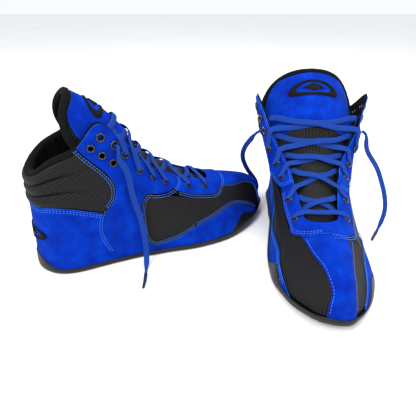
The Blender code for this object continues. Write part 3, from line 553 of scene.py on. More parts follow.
def make_mesh_material(name, thread, hole, per_cm):
    """A warp-knit air mesh: rounded threads round small dark holes, in rows along the UVs."""
    material, tree, shader = new_material(name, thread, 0.62, specular=0.16)
    cells = add_node(tree, "TexVoronoi",
                     {"Vector": coordinates(tree, "UV", (per_cm, per_cm, 1))},
                     {"Scale": 1.0, "Randomness": 0.12}).outputs["Distance"]
    tint(tree, shader, cells, (0.32, hole), (0.48, thread))
    fuzz = noise(tree, coordinates(tree), 1500.0, 2.0)
    add_bump(tree, shader, (cells, 0.8, 0.0006), (fuzz, 0.2, 0.0002))
    return material


def make_cloth_material(name, colour, light, per_cm):
    """A close plain weave, with threads both ways along the UVs."""
    material, tree, shader = new_material(name, colour, 0.88, specular=0.07)
    place = coordinates(tree, "UV", (per_cm, per_cm, 1))
    weave = add_node(tree, "Math", {0: wave(tree, place, 1.0), 1: wave(tree, place, 1.0, "Y")},
                     operation="MULTIPLY").outputs[0]
    tint(tree, shader, weave, (0.0, colour), (0.8, light))
    add_bump(tree, shader, (weave, 0.5, 0.0003))
    return material


def make_braid_material(name, dark, light):
    """A flat braid: strands that cross in a fine herringbone along the lace."""
    material, tree, shader = new_material(name, dark, 0.8, specular=0.08)
    strands = {k: wave(tree, coordinates(tree, "UV", turn=slant), 3.6)
               for k, slant in enumerate((0.785, -0.785))}
    most = add_node(tree, "Math", strands, operation="MAXIMUM").outputs[0]
    tint(tree, shader, most, (0.25, dark), (0.95, light))
    add_bump(tree, shader, (most, 0.8, 0.0004))
    return material


def make_rubber_material(name, colour, light):
    material, tree, shader = new_material(name, colour, 0.48, specular=0.28)
    place = coordinates(tree)
    grain = noise(tree, place, 900.0, 2.0)
    tint(tree, shader, noise(tree, place, 60.0, 4.0), (0.35, colour), (0.8, light))
    add_bump(tree, shader, (grain, 0.3, 0.0003))
    return material


def make_metal_material(name, colour):
    material, tree, shader = new_material(name, colour, 0.24, metallic=0.9)
    wear = noise(tree, coordinates(tree), 700.0, 2.0)
    rough = add_node(tree, "MapRange", {"Value": wear}, {"To Min": 0.10, "To Max": 0.22})
    tree.links.new(rough.outputs["Result"], shader.inputs["Roughness"])
    add_bump(tree, shader, (wear, 0.06, 0.0002))
    return material


def make_thread_material(name, colour, light):
    material, tree, shader = new_material(name, colour, 0.7, specular=0.12)
    strands = noise(tree, coordinates(tree), 2600.0, 1.0)
    tint(tree, shader, strands, (0.3, colour), (0.7, light))
    add_bump(tree, shader, (strands, 0.4, 0.0002))
    return material


SUEDE = make_suede_material("blue_suede", (0.0, 0.009, 0.17), (0.0, 0.019, 0.28),
                            (0.0, 0.034, 0.39))
# The suede's cut edges get a lighter blue: a painted highlight where light catches the edges.
SUEDE_EDGE_HIGHLIGHT = make_suede_material("suede_cut_edge_painted_highlight", (0.002, 0.04, 0.36), (0.008, 0.09, 0.52),
                                 (0.03, 0.17, 0.72))
AIR_MESH = make_mesh_material("black_air_mesh", (0.0115, 0.0115, 0.0125), (0.0, 0.0, 0.0), 4.4)
LINING = make_cloth_material("black_lining", (0.002, 0.002, 0.002), (0.009, 0.009, 0.010), 9.0)
TAPE = make_cloth_material("black_binding", (0.002, 0.002, 0.002), (0.010, 0.010, 0.011), 12.0)
BRAID = make_braid_material("blue_braid", (0.002, 0.014, 0.12), (0.012, 0.055, 0.32))
RUBBER = make_rubber_material("black_rubber", (0.003, 0.003, 0.003), (0.006, 0.006, 0.006))
METAL = make_metal_material("black_metal", (0.045, 0.046, 0.052))
# Plastic tips of the free laces, coloured dark navy: partly their own colour, partly painted shade
# on the lower, shaded end of each lace.
AGLET_WITH_SHADE = make_rubber_material("navy_plastic", (0.006, 0.010, 0.035), (0.012, 0.020, 0.060))
STITCH = make_thread_material("light_blue_thread", (0.03, 0.11, 0.55), (0.09, 0.23, 0.80))
BLACK_THREAD = make_thread_material("black_thread", (0.001, 0.001, 0.001), (0.006, 0.006, 0.007))
BOARD = make_cloth_material("fibre_board", (0.12, 0.11, 0.09), (0.20, 0.19, 0.16), 5.0)


# ---------------------------------------------------------------- building pieces
def build(boot, name, shape, materials, sharp=60):
    """One mesh object. Its shape is points in metres, faces and, where given, a uv in cm per
    point."""
    points, faces, *uvs = shape
    name = f"{boot.name}_{name}"
    mesh = bpy.data.meshes.new(name)
    mesh.from_pydata([tuple(p) for p in points], [], faces)
    for material in materials:
        mesh.materials.append(material)
    if uvs:
        layer = mesh.uv_layers.new(name="UVMap")
        corner = np.empty(len(mesh.loops), np.int32)
        mesh.loops.foreach_get("vertex_index", corner)
        layer.data.foreach_set("uv", np.asarray(uvs[0], float)[corner].ravel())
    mesh.shade_smooth()
    mesh.set_sharp_from_angle(angle=math.radians(sharp))
    obj = bpy.data.objects.new(name, mesh)
    bpy.context.scene.collection.objects.link(obj)
    return obj


def stand_for(boot, replaces):
    if replaces:
        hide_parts(*[f"{boot.name}_{node}" for node in replaces])


def settle(obj, boot, replaces=(), body="boot"):
    """The piece rides on its body and stands for its CAD nodes."""
    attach(obj, f"{boot.name}_{body}")
    stand_for(boot, replaces)


def thicken(obj, thickness, rim=0, bevel=0.0):
    solid = obj.modifiers.new("thickness", "SOLIDIFY")
    solid.thickness = thickness * MM
    solid.offset = 1.0
    solid.material_offset_rim = rim
    if bevel:
        edge = obj.modifiers.new("edge", "BEVEL")
        edge.width = bevel * MM
        edge.segments = 2
        edge.limit_method = "ANGLE"
        edge.angle_limit = math.radians(50)


def joined(patches):
    """Patches of (points, faces, uvs) as one, with flipped faces where asked."""
    points, faces, uvs = [], [], []
    for some, few, flat, flipped in patches:
        first = len(points)
        points.extend(some)
        uvs.extend(flat)
        faces.extend(tuple(first + i for i in (face[::-1] if flipped else face)) for face in few)
    return points, faces, uvs


def edit_mesh(obj, change):
    bm = bmesh.new()
    bm.from_mesh(obj.data)
    change(bm)
    bm.to_mesh(obj.data)
    bm.free()


def weld(obj):
    edit_mesh(obj, lambda bm: bmesh.ops.remove_doubles(bm, verts=bm.verts, dist=WELD_GAP))


def face_outward(obj):
    edit_mesh(obj, lambda bm: bmesh.ops.recalc_face_normals(bm, faces=bm.faces))


def grid_faces(rows, columns, closed=False):
    last = columns if closed else columns - 1
    return [(r * columns + k, r * columns + (k + 1) % columns,
             (r + 1) * columns + (k + 1) % columns, (r + 1) * columns + k)
            for r in range(rows - 1) for k in range(last)]


def tube_faces(rows, columns):
    """A closed tube of rings, with one face over each end."""
    total = rows * columns
    return grid_faces(rows, columns, closed=True) + [
        tuple(range(columns)), tuple(range(total - 1, total - 1 - columns, -1))]


def sole_faces(rows, columns):
    """Loops round the foot, with strips straight across the lowest and the last."""
    faces = grid_faces(rows, columns, closed=True)
    for start in (0, (rows - 1) * columns):
        faces.extend((start + k, start + k + 1, start + (columns - k - 1) % columns,
                      start + (columns - k) % columns) for k in range(1, columns // 2))
    return faces


def surface_grid(boot, stations, heights, rows, lift):
    """Both sides of a stretch of the upper. lift is a number or a function of s and v."""
    patches = []
    for side in (1, -1):
        low, high = heights(stations)
        v = low + (high - low) * np.linspace(0, 1, rows)[:, None]
        s = np.broadcast_to(stations, v.shape)
        height = lift(s, v) if callable(lift) else lift
        points = boot.world(boot.upper(s, v, side, height)).reshape(-1, 3)
        uvs = np.stack([s, v], -1).reshape(-1, 2) * PATTERN_UV
        patches.append((points, grid_faces(rows, len(stations)), uvs, side * boot.mirror > 0))
    return joined(patches)


def panel(boot, name, loop, sides, lift=SUEDE_LIFT, thickness=SUEDE_THICKNESS,
          holes_at=(), hole=HOLE_RADIUS, materials=(), replaces=()):
    """A flat pattern wrapped on the upper, with its cut edge in a second, lighter blue material: a
    painted highlight along the edge.
    """
    patches = []
    for side in sides:
        pattern, faces = fill_pattern(loop, PANEL_GRID, eyelet_holes(boot, side, holes_at, hole))
        s, v = pattern.T
        points = boot.world(boot.upper(s, v, side, lift(s, v) if callable(lift) else lift))
        patches.append((points, faces, pattern * PATTERN_UV, side * boot.mirror > 0))
    obj = build(boot, f"{name}_skin", joined(patches), materials or [SUEDE, SUEDE_EDGE_HIGHLIGHT])
    weld(obj)
    thicken(obj, thickness, rim=0 if materials else 1, bevel=0.3)
    settle(obj, boot, replaces)


def sweep(path, normals, widths, heights, sides, power=2.6):
    """A flat strip or a tube swept along a path in metres. It returns points, faces and uvs."""
    path = np.asarray(path, float)
    along = np.gradient(path, axis=0)
    along = unit(along)
    turn = np.linspace(0, 2 * math.pi, sides, endpoint=False)
    cos, sin = np.cos(turn), np.sin(turn)
    x = np.sign(cos) * np.abs(cos) ** (2 / power)
    y = np.sign(sin) * np.abs(sin) ** (2 / power)
    normal = normals[0] - along[0] * (normals[0] @ along[0])
    normal = unit(normal)
    points, uvs, run = [], [], 0.0
    for i, (place, tangent) in enumerate(zip(path, along)):
        normal = normal - tangent * (normal @ tangent)
        normal = unit(normal)
        aim = normals[i] - tangent * (normals[i] @ tangent)
        size = np.linalg.norm(aim)
        if size > 0.45:
            aim /= size
            if aim @ normal < 0:
                aim = -aim
            normal = normal + 0.3 * (aim - normal)
            normal = unit(normal)
        across = np.cross(tangent, normal)
        points.extend(place + across * a * widths[i] + normal * b * heights[i]
                      for a, b in zip(x, y))
        if i:
            run += np.linalg.norm(place - path[i - 1])
        uvs.extend((run * 100, a * widths[i] * 100) for a in x)
    return points, tube_faces(len(path), sides), uvs


def offset_line(boot, side, line, offset):
    """A line of a pattern moved sideways on the surface by so many mm, to its left."""
    along, up = slopes(boot, *line.T, side, 0.003)
    run = np.gradient(line, axis=0)
    tangent = along * run[:, :1] + up * run[:, 1:]
    tangent = unit(tangent)
    normal = np.cross(along, up)
    normal = unit(normal)
    left = np.cross(normal, tangent)
    return np.array([place + offset * aim @ np.linalg.pinv(np.array(axes))
                     for place, aim, *axes in zip(line, left, along, up)])


THREAD_RINGS, THREAD_SIDES = 5, 6
THREAD_SIZES = (0.5, 0.9, 1.0, 0.9, 0.5)     # a thread is thinner where it dips in
THREAD_TURNS = np.linspace(0, 2 * math.pi, THREAD_SIDES, endpoint=False)


def add_thread(points, faces, rings):
    """Adds one short closed thread, ring by ring."""
    first = len(points)
    for ring in rings:
        points.extend(ring)
    faces.extend(tuple(first + i for i in face)
                 for face in grid_faces(THREAD_RINGS, THREAD_SIDES, closed=True))
    faces.append(tuple(range(first + THREAD_SIDES - 1, first - 1, -1)))
    faces.append(tuple(range(len(points) - THREAD_SIDES, len(points))))


def stitch_rows(boot, name, lines, lift, pitch=3.2, length=2.2, radius=0.3):
    """Rows of single stitches: small arched threads that dip into the skin at both ends."""
    points, faces = [], []
    for side, line in lines:
        line = line[(line[:, 1] > 0.04) & (line[:, 1] < 0.995)]
        if len(line) < 3:
            continue
        s, v = line.T
        place = boot.upper(s, v, side, lift(s, v) if callable(lift) else lift)
        normal = boot.normal(s, v, side)
        run = lengths_along(place)
        for k in range(int((run[-1] - 1.0) / pitch)):
            at = 0.8 + pitch * k + np.linspace(0, length, THREAD_RINGS)
            spots = points_at(at, run, place)
            along = unit(spots[-1] - spots[0])
            rings = []
            for spot, out, rise, size in zip(spots, points_at(at, run, normal),
                                             (-0.25, 0.12, 0.2, 0.12, -0.25), THREAD_SIZES):
                out = unit(out - along * (out @ along))
                across = np.cross(along, out)
                rings.append([spot + out * (rise + radius * size * math.sin(w))
                              + across * radius * size * math.cos(w) for w in THREAD_TURNS])
            add_thread(points, faces, rings)
    obj = build(boot, name, (boot.world(points), faces), [STITCH])
    settle(obj, boot)


def double_row(boot, side, edge, offsets=(2.0, 4.3)):
    line = pattern_edge(edge, 90)
    return [(side, offset_line(boot, side, line, -side * offset)) for offset in offsets]


# ---------------------------------------------------------------- pieces of one boot
def visible_rand(count):
    """Top of the rubber: low along the waist, with a lip at the heel, the joints and the toe."""
    s, side = both_sides(count)

    def swell(middle, width):
        return np.cos(np.clip((s - middle) / width, -1, 1) * math.pi / 2) ** 2

    joint = np.where(side > 0, swell(0.82, 0.10), swell(0.74, 0.09))
    return -0.022 + 0.135 * swell(0.0, 0.09) + 0.185 * joint + 0.055 * swell(1.0, 0.08)


def build_sole(boot):
    count = 220
    rand = visible_rand(count) - SOLE_EDGE
    toe = np.clip((both_sides(count)[0] - 0.86) / 0.14, 0, 1)[:, None] ** 1.5
    low = [sole_loop(boot, count, offset - 1.5 * toe, height + spring * toe[:, 0])
           for offset, height, spring in
           ((-4.0, 0.0, 2.4), (-1.6, 0.0, 2.4), (0.9, 0.3, 2.2), (1.9, 1.0, 1.8),
            (2.5, 2.0, 1.3), (2.7, 3.2, 0.7))]
    high = [around(boot, count, SOLE_EDGE + rand * share, SOLE_LIP - 0.9 - drop)
            for share, drop in ((0.15, 0.0), (0.4, 0.0), (0.7, 0.05), (0.9, 0.1), (1.0, 0.5),
                                (1.01, 1.0))]
    inner = [around(boot, count, SOLE_EDGE + rand * 0.99, RAND_LIFT - 0.3),
             around(boot, count, SOLE_EDGE + rand * 0.5, RAND_LIFT - 0.5),
             sole_loop(boot, count, 0.4, 4.6),
             sole_loop(boot, count, -6.0, 4.6)]
    loops = low + high + inner
    points = np.vstack([boot.world(loop) for loop in loops])
    run = np.tile(np.linspace(0, 62, count), len(loops))
    uvs = np.column_stack([run, np.repeat(np.arange(len(loops)) * 0.3, count)])
    obj = build(boot, "rubber_sole", (points, sole_faces(len(loops), count), uvs), [RUBBER],
                sharp=50)
    face_outward(obj)
    settle(obj, boot, ("outsole",))


def counter_height(s):
    return np.interp(s, [p[0] for p in COUNTER_TOP], [p[1] for p in COUNTER_TOP])


def roll_lift(s, v):
    """Three soft rolls round the back of the ankle, which fade into the quarters."""
    low = counter_height(s)
    share = np.clip((v - low) / (0.97 - low), 0, 1)
    bend = share ** 1.05
    rolls = np.abs(np.sin(3 * math.pi * bend)) ** 0.6
    fade = np.clip((0.30 - s) / 0.16, 0, 1) * (share > 0) * (share < 1)
    return MESH_LIFT - 0.6 + 5.2 * rolls * fade + 1.0 * (1 - fade)


def build_mesh_upper(boot):
    rear = np.linspace(0, 0.340, 90)
    front = np.concatenate([np.linspace(0.338, 0.72, 70), np.linspace(0.725, 1.0, 70)])
    for name, node, stations, rows, lift in (
            ("ankle_cover", "ankle_mesh", rear, 110, roll_lift),
            ("forefoot_cover", "vamp_mesh", front, 40, MESH_LIFT + 0.9)):
        shape = surface_grid(boot, stations, full_height, rows, lift)
        obj = build(boot, name, shape, [AIR_MESH], sharp=180)
        weld(obj)
        settle(obj, boot, (node,))
        thicken(obj, MESH_THICKNESS)


def build_collar(boot):
    """The padded roll round the top, over the lip and down inside the shaft."""
    stations = np.linspace(0, 0.252, 90)
    profile = []
    for k in np.linspace(0, 1, 16):
        angle = math.pi * k
        profile.append((-3.9 + 4.4 * math.cos(angle), 3.4 * math.sin(angle), COLLAR_HEIGHT))
    for k in np.linspace(0.05, 1, 16):
        profile.append((-8.3 - 1.0 * math.sin(math.pi * k) + 1.5 * k, 0.0,
                        COLLAR_HEIGHT - 0.40 * k))
    pucker = 0.18 * np.sin(stations * 210) + 0.3 * np.sin(stations * 97 + 1.0)
    fade = np.clip((0.262 - stations) / 0.02, 0.35, 1)
    patches = []
    for side in (1, -1):
        rows = []
        for k, (lift, rise, height) in enumerate(profile):
            gather = pucker * fade * math.sin(math.pi * k / 31)
            row = boot.upper(stations, np.full(len(stations), height), side,
                             (lift + 1.2) * fade - 1.2 + gather)
            row[:, 2] += rise * fade
            rows.append(row)
        points = boot.world(np.array(rows)).reshape(-1, 3)
        uvs = [(s * PATTERN_UV[0], r * 0.25) for r in range(len(rows)) for s in stations]
        patches.append((points, grid_faces(len(rows), len(stations)), uvs,
                        side * boot.mirror > 0))
    obj = build(boot, "collar_roll", joined(patches), [LINING], sharp=180)
    weld(obj)
    thicken(obj, 0.8)
    settle(obj, boot, ("collar_pad", "collar_lining"))


def build_insole(boot):
    """A soft sockliner with a rolled edge, cupped at the heel."""
    count = 140
    rim = both_sides(count)[0]
    cup = 2.5 * np.clip(1 - rim / 0.25, 0, 1)
    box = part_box(f"{boot.name}_sockliner")
    low, top = box[0][2] / MM, box[1][2] / MM
    loops = [sole_loop(boot, count, offset, 0.0) for offset in (-9, -6.5, -5.8, -6.2, -8, -14)]
    heights = (low, low, low + 0.6, top - 0.4, top, top - 0.3)
    for loop, height in zip(loops, heights):
        loop[:, 2] = height + (cup if height > low + 1 else 0)
    points = boot.world(np.vstack(loops))
    shape = (points, sole_faces(len(loops), count), points[:, :2] * 100)
    obj = build(boot, "soft_insole", shape, [LINING], sharp=70)
    face_outward(obj)
    settle(obj, boot, ("sockliner",))


def lobe_lift(s, v):
    """The quarter's front lobe climbs over the vamp facing."""
    climb = np.clip((s - 0.566) / 0.014, 0, 1) * np.clip((v - 0.62) / 0.05, 0, 1)
    return SUEDE_LIFT + 1.3 * climb


def front_lift(s, _):
    """The vamp facing climbs over the toe stripe."""
    return SUEDE_LIFT + 1.3 * np.clip((s - 0.742) / 0.018, 0, 1)


def build_suede(boot):
    heel_back = [(0.0, v) for v in np.linspace(SUEDE_FOOT, 0.68, 34)[1:-1]]
    front = pattern_edge(COUNTER_FRONT[:-1] + ((0.240, SUEDE_FOOT),), 30)[1:] + (0.006, 0)
    counter = np.vstack([pattern_edge(COUNTER_TOP, 40), front,
                         pattern_edge(((0.24, SUEDE_FOOT), (0.0, SUEDE_FOOT)), 26)[1:],
                         heel_back])
    panel(boot, "heel_counter", counter, (1, -1), replaces=("heel_counter",))
    rows = []
    for side in (1, -1):
        rows += double_row(boot, side, COUNTER_TOP)
        rows += double_row(boot, side, COUNTER_FRONT, offsets=(2.0,))
    stitch_rows(boot, "counter_stitches", rows, SUEDE_LIFT + SUEDE_THICKNESS)
    for word, side in (("medial", 1), ("lateral", -1)):
        edge = ((FOXING[word][0][0], SUEDE_FOOT),) + FOXING[word][1:]
        quarter = joined_edges(
            (QUARTER_REAR, 40), (QUARTER_SEAM[:-1] + ((0.247, SUEDE_FOOT),), 20),
            (((0.247, SUEDE_FOOT), edge[0]), 60), (edge, 45), (WINDOW_REAR, 80),
            ((WINDOW_REAR[-1], QUARTER_REAR[0]), 70))[:-1]
        used = FRONT_EYELETS[2:] + REAR_EYELETS
        panel(boot, f"{word}_quarter", quarter, (side,), holes_at=used, lift=lobe_lift,
              replaces=(f"{word}_quarter",))
        rows = []
        for line in (QUARTER_REAR, WINDOW_REAR, edge):
            rows += double_row(boot, side, line)
        top = [(s, 0.985) for s in (0.604, 0.55, 0.48, 0.42, 0.36, 0.30, 0.246)]
        rows += double_row(boot, side, top, offsets=(2.2,))
        rows += double_row(boot, side, QUARTER_SEAM, offsets=(2.0,))
        stitch_rows(boot, f"{word}_quarter_stitches", rows,
                    lambda s, v: lobe_lift(s, v) + SUEDE_THICKNESS)
        lining = joined_edges(
            (((0.236, 0.998), (0.246, 0.92), (0.278, 0.74), (0.32, 0.60)), 20),
            (((0.32, 0.60), (0.40, 0.60), (0.50, 0.66), (0.60, 0.64), (0.735, 0.62)), 30),
            (((0.735, 0.62), (0.742, 0.80), (0.745, 0.975)), 10),
            (((0.745, 0.975), (0.50, 0.985), (0.36, 0.998), (0.236, 0.998)), 60))[:-1]
        panel(boot, f"{word}_facing_lining", lining, (side,), lift=-1.4,
              thickness=1.2, holes_at=FRONT_EYELETS + REAR_EYELETS, hole=2.9,
              materials=[LINING])
        build_eyelets(boot, word, side)
    tucked = ((0.598, 0.985), (0.592, 0.87), (0.576, 0.765), VAMP_LOWER[0])
    lower = joined_edges((tucked, 16), (VAMP_LOWER, 50),
                         ((VAMP_LOWER[-1], (THROAT + 0.002, 1.0)), 14))
    gap_edge = pattern_edge(((THROAT - 0.004, 0.985), tucked[0]), 34)
    vamp = np.vstack([lower, gap_edge[:-1]])
    panel(boot, "vamp_facing", vamp, (1, -1), holes_at=FRONT_EYELETS[:2], lift=front_lift,
          replaces=("vamp_facing",))
    stripe_rear = ((0.812, 1.0), (0.803, 0.86), (0.783, 0.74), (0.762, 0.674))
    stripe_side = ((0.762, 0.674), (0.800, 0.674), (0.860, 0.672), (0.920, 0.692),
                   (0.952, 0.600), (0.964, 0.40), (0.966, SUEDE_FOOT))
    stripe = joined_edges(
        (stripe_rear, 20), (stripe_side, 60), (((0.966, SUEDE_FOOT), (1.0, SUEDE_FOOT)), 8),
        (((1.0, SUEDE_FOOT), (1.0, 1.0)), 26), (((1.0, 1.0), stripe_rear[0]), 34))[:-1]
    panel(boot, "toe_stripe", stripe, (1, -1), replaces=("toe_stripe",))
    rows = []
    for side in (1, -1):
        rows += double_row(boot, side, VAMP_LOWER[:-1] + ((0.820, 0.95),))
        rows += double_row(boot, side, stripe_side[1:], offsets=(2.0,))
    stitch_rows(boot, "toe_stitches", rows,
                lambda s, v: np.where(v > 0.6, front_lift(np.where(s > 0.825, 0, s), v),
                                      SUEDE_LIFT) + SUEDE_THICKNESS)


def build_eyelets(boot, word, side):
    """Eleven rolled metal rings with a short barrel each."""
    turn = np.linspace(0, 2 * math.pi, RING_SIDES, endpoint=False)
    profile = [(2.55, -2.4), (2.45, 0.5), (2.5, 1.9), (2.75, 2.5), (3.3, 2.75), (3.9, 2.55),
               (4.25, 2.1), (4.4, 1.6), (4.25, 1.3)]
    points, faces = [], []
    for number, (s, v) in enumerate(FRONT_EYELETS + REAR_EYELETS):
        scale = 1.08 if 4 < number < 8 else 0.98
        centre = boot.upper(s, v, side, 0.0)
        normal = boot.normal(np.array(s), np.array(v), side)
        across = np.cross(normal, (0, 0, 1.0))
        across = unit(across)
        square = np.cross(normal, across)
        first = len(points)
        for radius, lift in profile:
            points.extend(centre + normal * lift + radius * scale * (across * math.cos(w)
                                                                    + square * math.sin(w))
                          for w in turn)
        faces.extend(tuple(first + i for i in face)
                     for face in grid_faces(len(profile), RING_SIDES, closed=True))
    obj = build(boot, f"{word}_eyelet_rings", (boot.world(points), faces), [METAL], sharp=180)
    solid = obj.modifiers.new("thickness", "SOLIDIFY")
    solid.thickness = 0.3 * MM
    settle(obj, boot, (f"{word}_eyelets",))


def ring_and_lozenge(x, y):
    """The plain shape of both badges, on a field from -1 to 1 each way."""
    radius = np.hypot(x, y)
    return ((radius > 0.70) & (radius < 1.0)) | (np.abs(x) / 0.46 + np.abs(y) / 0.52 < 1)


def badge_threads(boot, name, place, body="boot"):
    """Satin stitches over the badge: radial round the ring, straight over the lozenge."""
    ends = []
    for turn in np.linspace(0, 2 * math.pi, 96, endpoint=False):
        ring = np.array((math.cos(turn), math.sin(turn)))
        ends.append((ring * 0.71, ring * 0.985))
    for y in np.linspace(-0.46, 0.46, 19):
        half = 0.44 * (1 - abs(y) / 0.52)
        ends.append((np.array((-half, y)), np.array((half, y))))
    points, faces = [], []
    for start, end in ends:
        flat = start + (end - start) * np.linspace(0, 1, THREAD_RINGS)[:, None]
        spots = place(flat[:, 0], flat[:, 1], np.array((0.0, 0.3, 0.35, 0.3, 0.0)))
        along = unit(spots[-1] - spots[0])
        across = unit(np.cross(along, (1.0, 0, 0)))
        out = np.cross(across, along)
        add_thread(points, faces, [
            [spot + BADGE_THREAD * size * (out * math.sin(w) + across * math.cos(w))
             for w in THREAD_TURNS] for spot, size in zip(spots, THREAD_SIZES)])
    obj = build(boot, name, (boot.world(points), faces), [BLACK_THREAD])
    settle(obj, boot, body=body)


def build_emblems(boot):
    """A plain ring round a lozenge, embroidered on the heel."""
    reach, middle, half = 0.062, 0.352, 0.072
    lift = SUEDE_LIFT + SUEDE_THICKNESS

    def heights(s):
        return middle - half + 0 * s, middle + half + 0 * s

    columns, rows = 30, 44
    points, faces, uvs = surface_grid(boot, np.linspace(0, reach, columns), heights, rows,
                                      lift + 0.25)
    kept = []
    for face in faces:
        row, column = divmod(min(face) % (rows * columns), columns)
        if ring_and_lozenge((column + 0.5) / (columns - 1), 2 * (row + 0.5) / (rows - 1) - 1):
            kept.append(face)
    obj = build(boot, "heel_badge", (points, kept, uvs), [BLACK_THREAD])
    weld(obj)
    thicken(obj, 0.6)
    settle(obj, boot, ("heel_emblem",))

    def place(x, y, rise):
        side = np.where(x < 0, -1, 1)
        spots = [boot.upper(abs(a) * reach, middle + half * b, int(c), lift + 0.8 + r)
                 for a, b, c, r in zip(x, y, side, rise)]
        return np.array(spots)

    badge_threads(boot, "heel_badge_threads", place)


# ---------------------------------------------------------------- the tongue
def tongue_reach(t, inset=0.0):
    """Half width of the tongue's free flap: wider than the throat, with a squarish top."""
    run = np.clip((t - 7.05) / (TIP_ROW - 7.05 - inset), 0, 1)
    flare = 1 + 0.17 * np.clip((t - 6.0) / 1.1, 0, 1) ** 1.2
    return flare * (1 - run ** 4.2) ** (1 / 4.2) * (1 - inset)


def tongue_place(boot, a, t, lift=0.0):
    """A point of the tongue, whose free flap wraps back at both sides."""
    a, t = np.broadcast_arrays(np.asarray(a, float), np.asarray(t, float))
    wrap = np.clip((np.abs(a) - 0.35) / 0.75, 0, 1.2) ** 2 * np.clip((t - 6.7) / 0.8, 0, 1)
    return boot.tongue_point(a, t, lift) - wrap[..., None] * np.array((10.0, 0, 4.0))


def tongue_sheet(boot, rows, columns, lift, inset=0.0, width=1.0):
    t = rows[:, None]
    a = columns[None, :] * tongue_reach(t, inset) * width
    height = lift(np.broadcast_to(columns, a.shape), np.broadcast_to(t, a.shape)) \
        if callable(lift) else lift
    return tongue_place(boot, a, np.broadcast_to(t, a.shape), height)


def blend_tongue(obj, boot, replaces):
    start = boot.world(boot.tongue_point(0.0, TONGUE_SPLIT - BLEND_ROWS))
    end = boot.world(boot.tongue_point(0.0, TONGUE_SPLIT + BLEND_ROWS))
    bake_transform(obj)
    stand_for(boot, replaces)


def tongue_uvs(rows, columns):
    return [(k * 0.2, r * 0.12) for r in range(rows) for k in range(columns)]


def build_tongue(boot):
    rows = np.concatenate([np.linspace(0.2, TIP_START, 190), TIP_START + 1.36 * np.sin(
        np.linspace(0.02, math.pi / 2, 40))])
    columns = np.sin(np.linspace(-1, 1, 37) * math.pi / 2)

    def round_off(a):
        return np.sqrt(np.clip(1 - np.abs(a) ** 5, 0, 1))

    def top(a, t):
        rib = 0.45 * np.abs(np.sin(math.pi * t * 3.2)) ** 0.7 * (t < TIP_START)
        return (2.0 + rib) * round_off(a)

    def bottom(a, _):
        return -2.2 * round_off(a)

    upper = tongue_sheet(boot, rows, columns, top, inset=0.02, width=0.97)
    lower = tongue_sheet(boot, rows, columns[1:-1][::-1], bottom, inset=0.02, width=0.97)
    rings = np.concatenate([upper, lower], axis=1)
    count = rings.shape[1]
    points = boot.world(rings).reshape(-1, 3)
    shape = (points, tube_faces(len(rows), count), tongue_uvs(len(rows), count))
    obj = build(boot, "tongue_pad", shape, [AIR_MESH], sharp=100)
    face_outward(obj)
    blend_tongue(obj, boot, ("tongue_base", "tongue_flap"))

    rows = np.concatenate([np.linspace(PATCH_ROW, 7.4, 26), 7.4 + 0.90 * np.sin(
        np.linspace(0.05, math.pi / 2, 36))])
    columns = np.linspace(-1, 1, 33)
    droop = 0.42 * (1 - columns[None, :] ** 2)
    t = rows[:, None] - droop * (1 - np.clip((rows[:, None] - PATCH_ROW) / 0.9, 0, 1)) ** 2
    a = columns[None, :] * tongue_reach(t, 0.06) * 0.945
    height = np.interp(t, (PATCH_ROW, 6.9, 7.3), (1.75, 2.1, 2.2))
    points = boot.world(tongue_place(boot, a, t, height)).reshape(-1, 3)
    faces = grid_faces(len(rows), len(columns))
    if boot.mirror < 0:
        faces = [face[::-1] for face in faces]
    shape = (points, faces, tongue_uvs(len(rows), len(columns)))
    # The cover's cut edge takes the lighter blue of the painted edge highlight.
    obj = build(boot, "tongue_cover", shape, [SUEDE, SUEDE_EDGE_HIGHLIGHT])
    thicken(obj, SUEDE_THICKNESS, rim=1, bevel=0.3)
    blend_tongue(obj, boot, ("tongue_patch",))

    side_rows = np.concatenate([np.linspace(5.9, TIP_START, 24), TIP_START + 1.5 * np.sin(
        np.linspace(0.04, math.pi / 2, 50))])
    side = np.column_stack([tongue_reach(side_rows), side_rows])
    loop = np.vstack([side * (-1, 1), side[::-1][1:]])
    path = boot.world(tongue_place(boot, loop[:, 0] * 0.985, loop[:, 1] - 0.03, 0.5))
    step = np.linalg.norm(np.diff(path, axis=0), axis=1)
    keep = np.concatenate([[True], step > 0.0003])
    path = path[keep]
    size = np.full(len(path), TAPE_RADIUS * MM)
    shape = sweep(path, np.tile((0, 0, 1.0), (len(path), 1)), size, size, sides=14, power=2.0)
    obj = build(boot, "tongue_tape", shape, [TAPE], sharp=100)
    blend_tongue(obj, boot, ("tongue_binding",))
    build_tongue_badge(boot)


def build_tongue_badge(boot):
    """The same plain ring and lozenge, on the tongue."""
    columns, rows = 64, 40
    low, high, reach = 7.06, 7.86, 0.56
    x = np.linspace(-1, 1, columns)[None, :] + np.zeros((rows, 1))
    y = np.linspace(-1, 1, rows)[:, None] + np.zeros((1, columns))

    def place(x, y, rise):
        t = (low + high) / 2 + y * (high - low) / 2
        return tongue_place(boot, x * reach, t, 3.55 + rise)

    points = boot.world(place(x, y, 0.0)).reshape(-1, 3)
    uvs = np.stack([x * 3, y * 2], -1).reshape(-1, 2)
    faces = []
    for face in grid_faces(rows, columns):
        row, column = divmod(face[0], columns)
        middle = (2 * (column + 0.5) / (columns - 1) - 1, 2 * (row + 0.5) / (rows - 1) - 1)
        if ring_and_lozenge(*middle):
            faces.append(face[::-1] if boot.mirror < 0 else face)
    obj = build(boot, "tongue_badge", (points, faces, uvs), [BLACK_THREAD])
    weld(obj)
    thicken(obj, 0.5)
    settle(obj, boot, ("tongue_emblem",), body="tongue")
    badge_threads(boot, "tongue_badge_threads",
                  lambda x, y, rise: place(x, y, rise + 0.5), body="tongue")


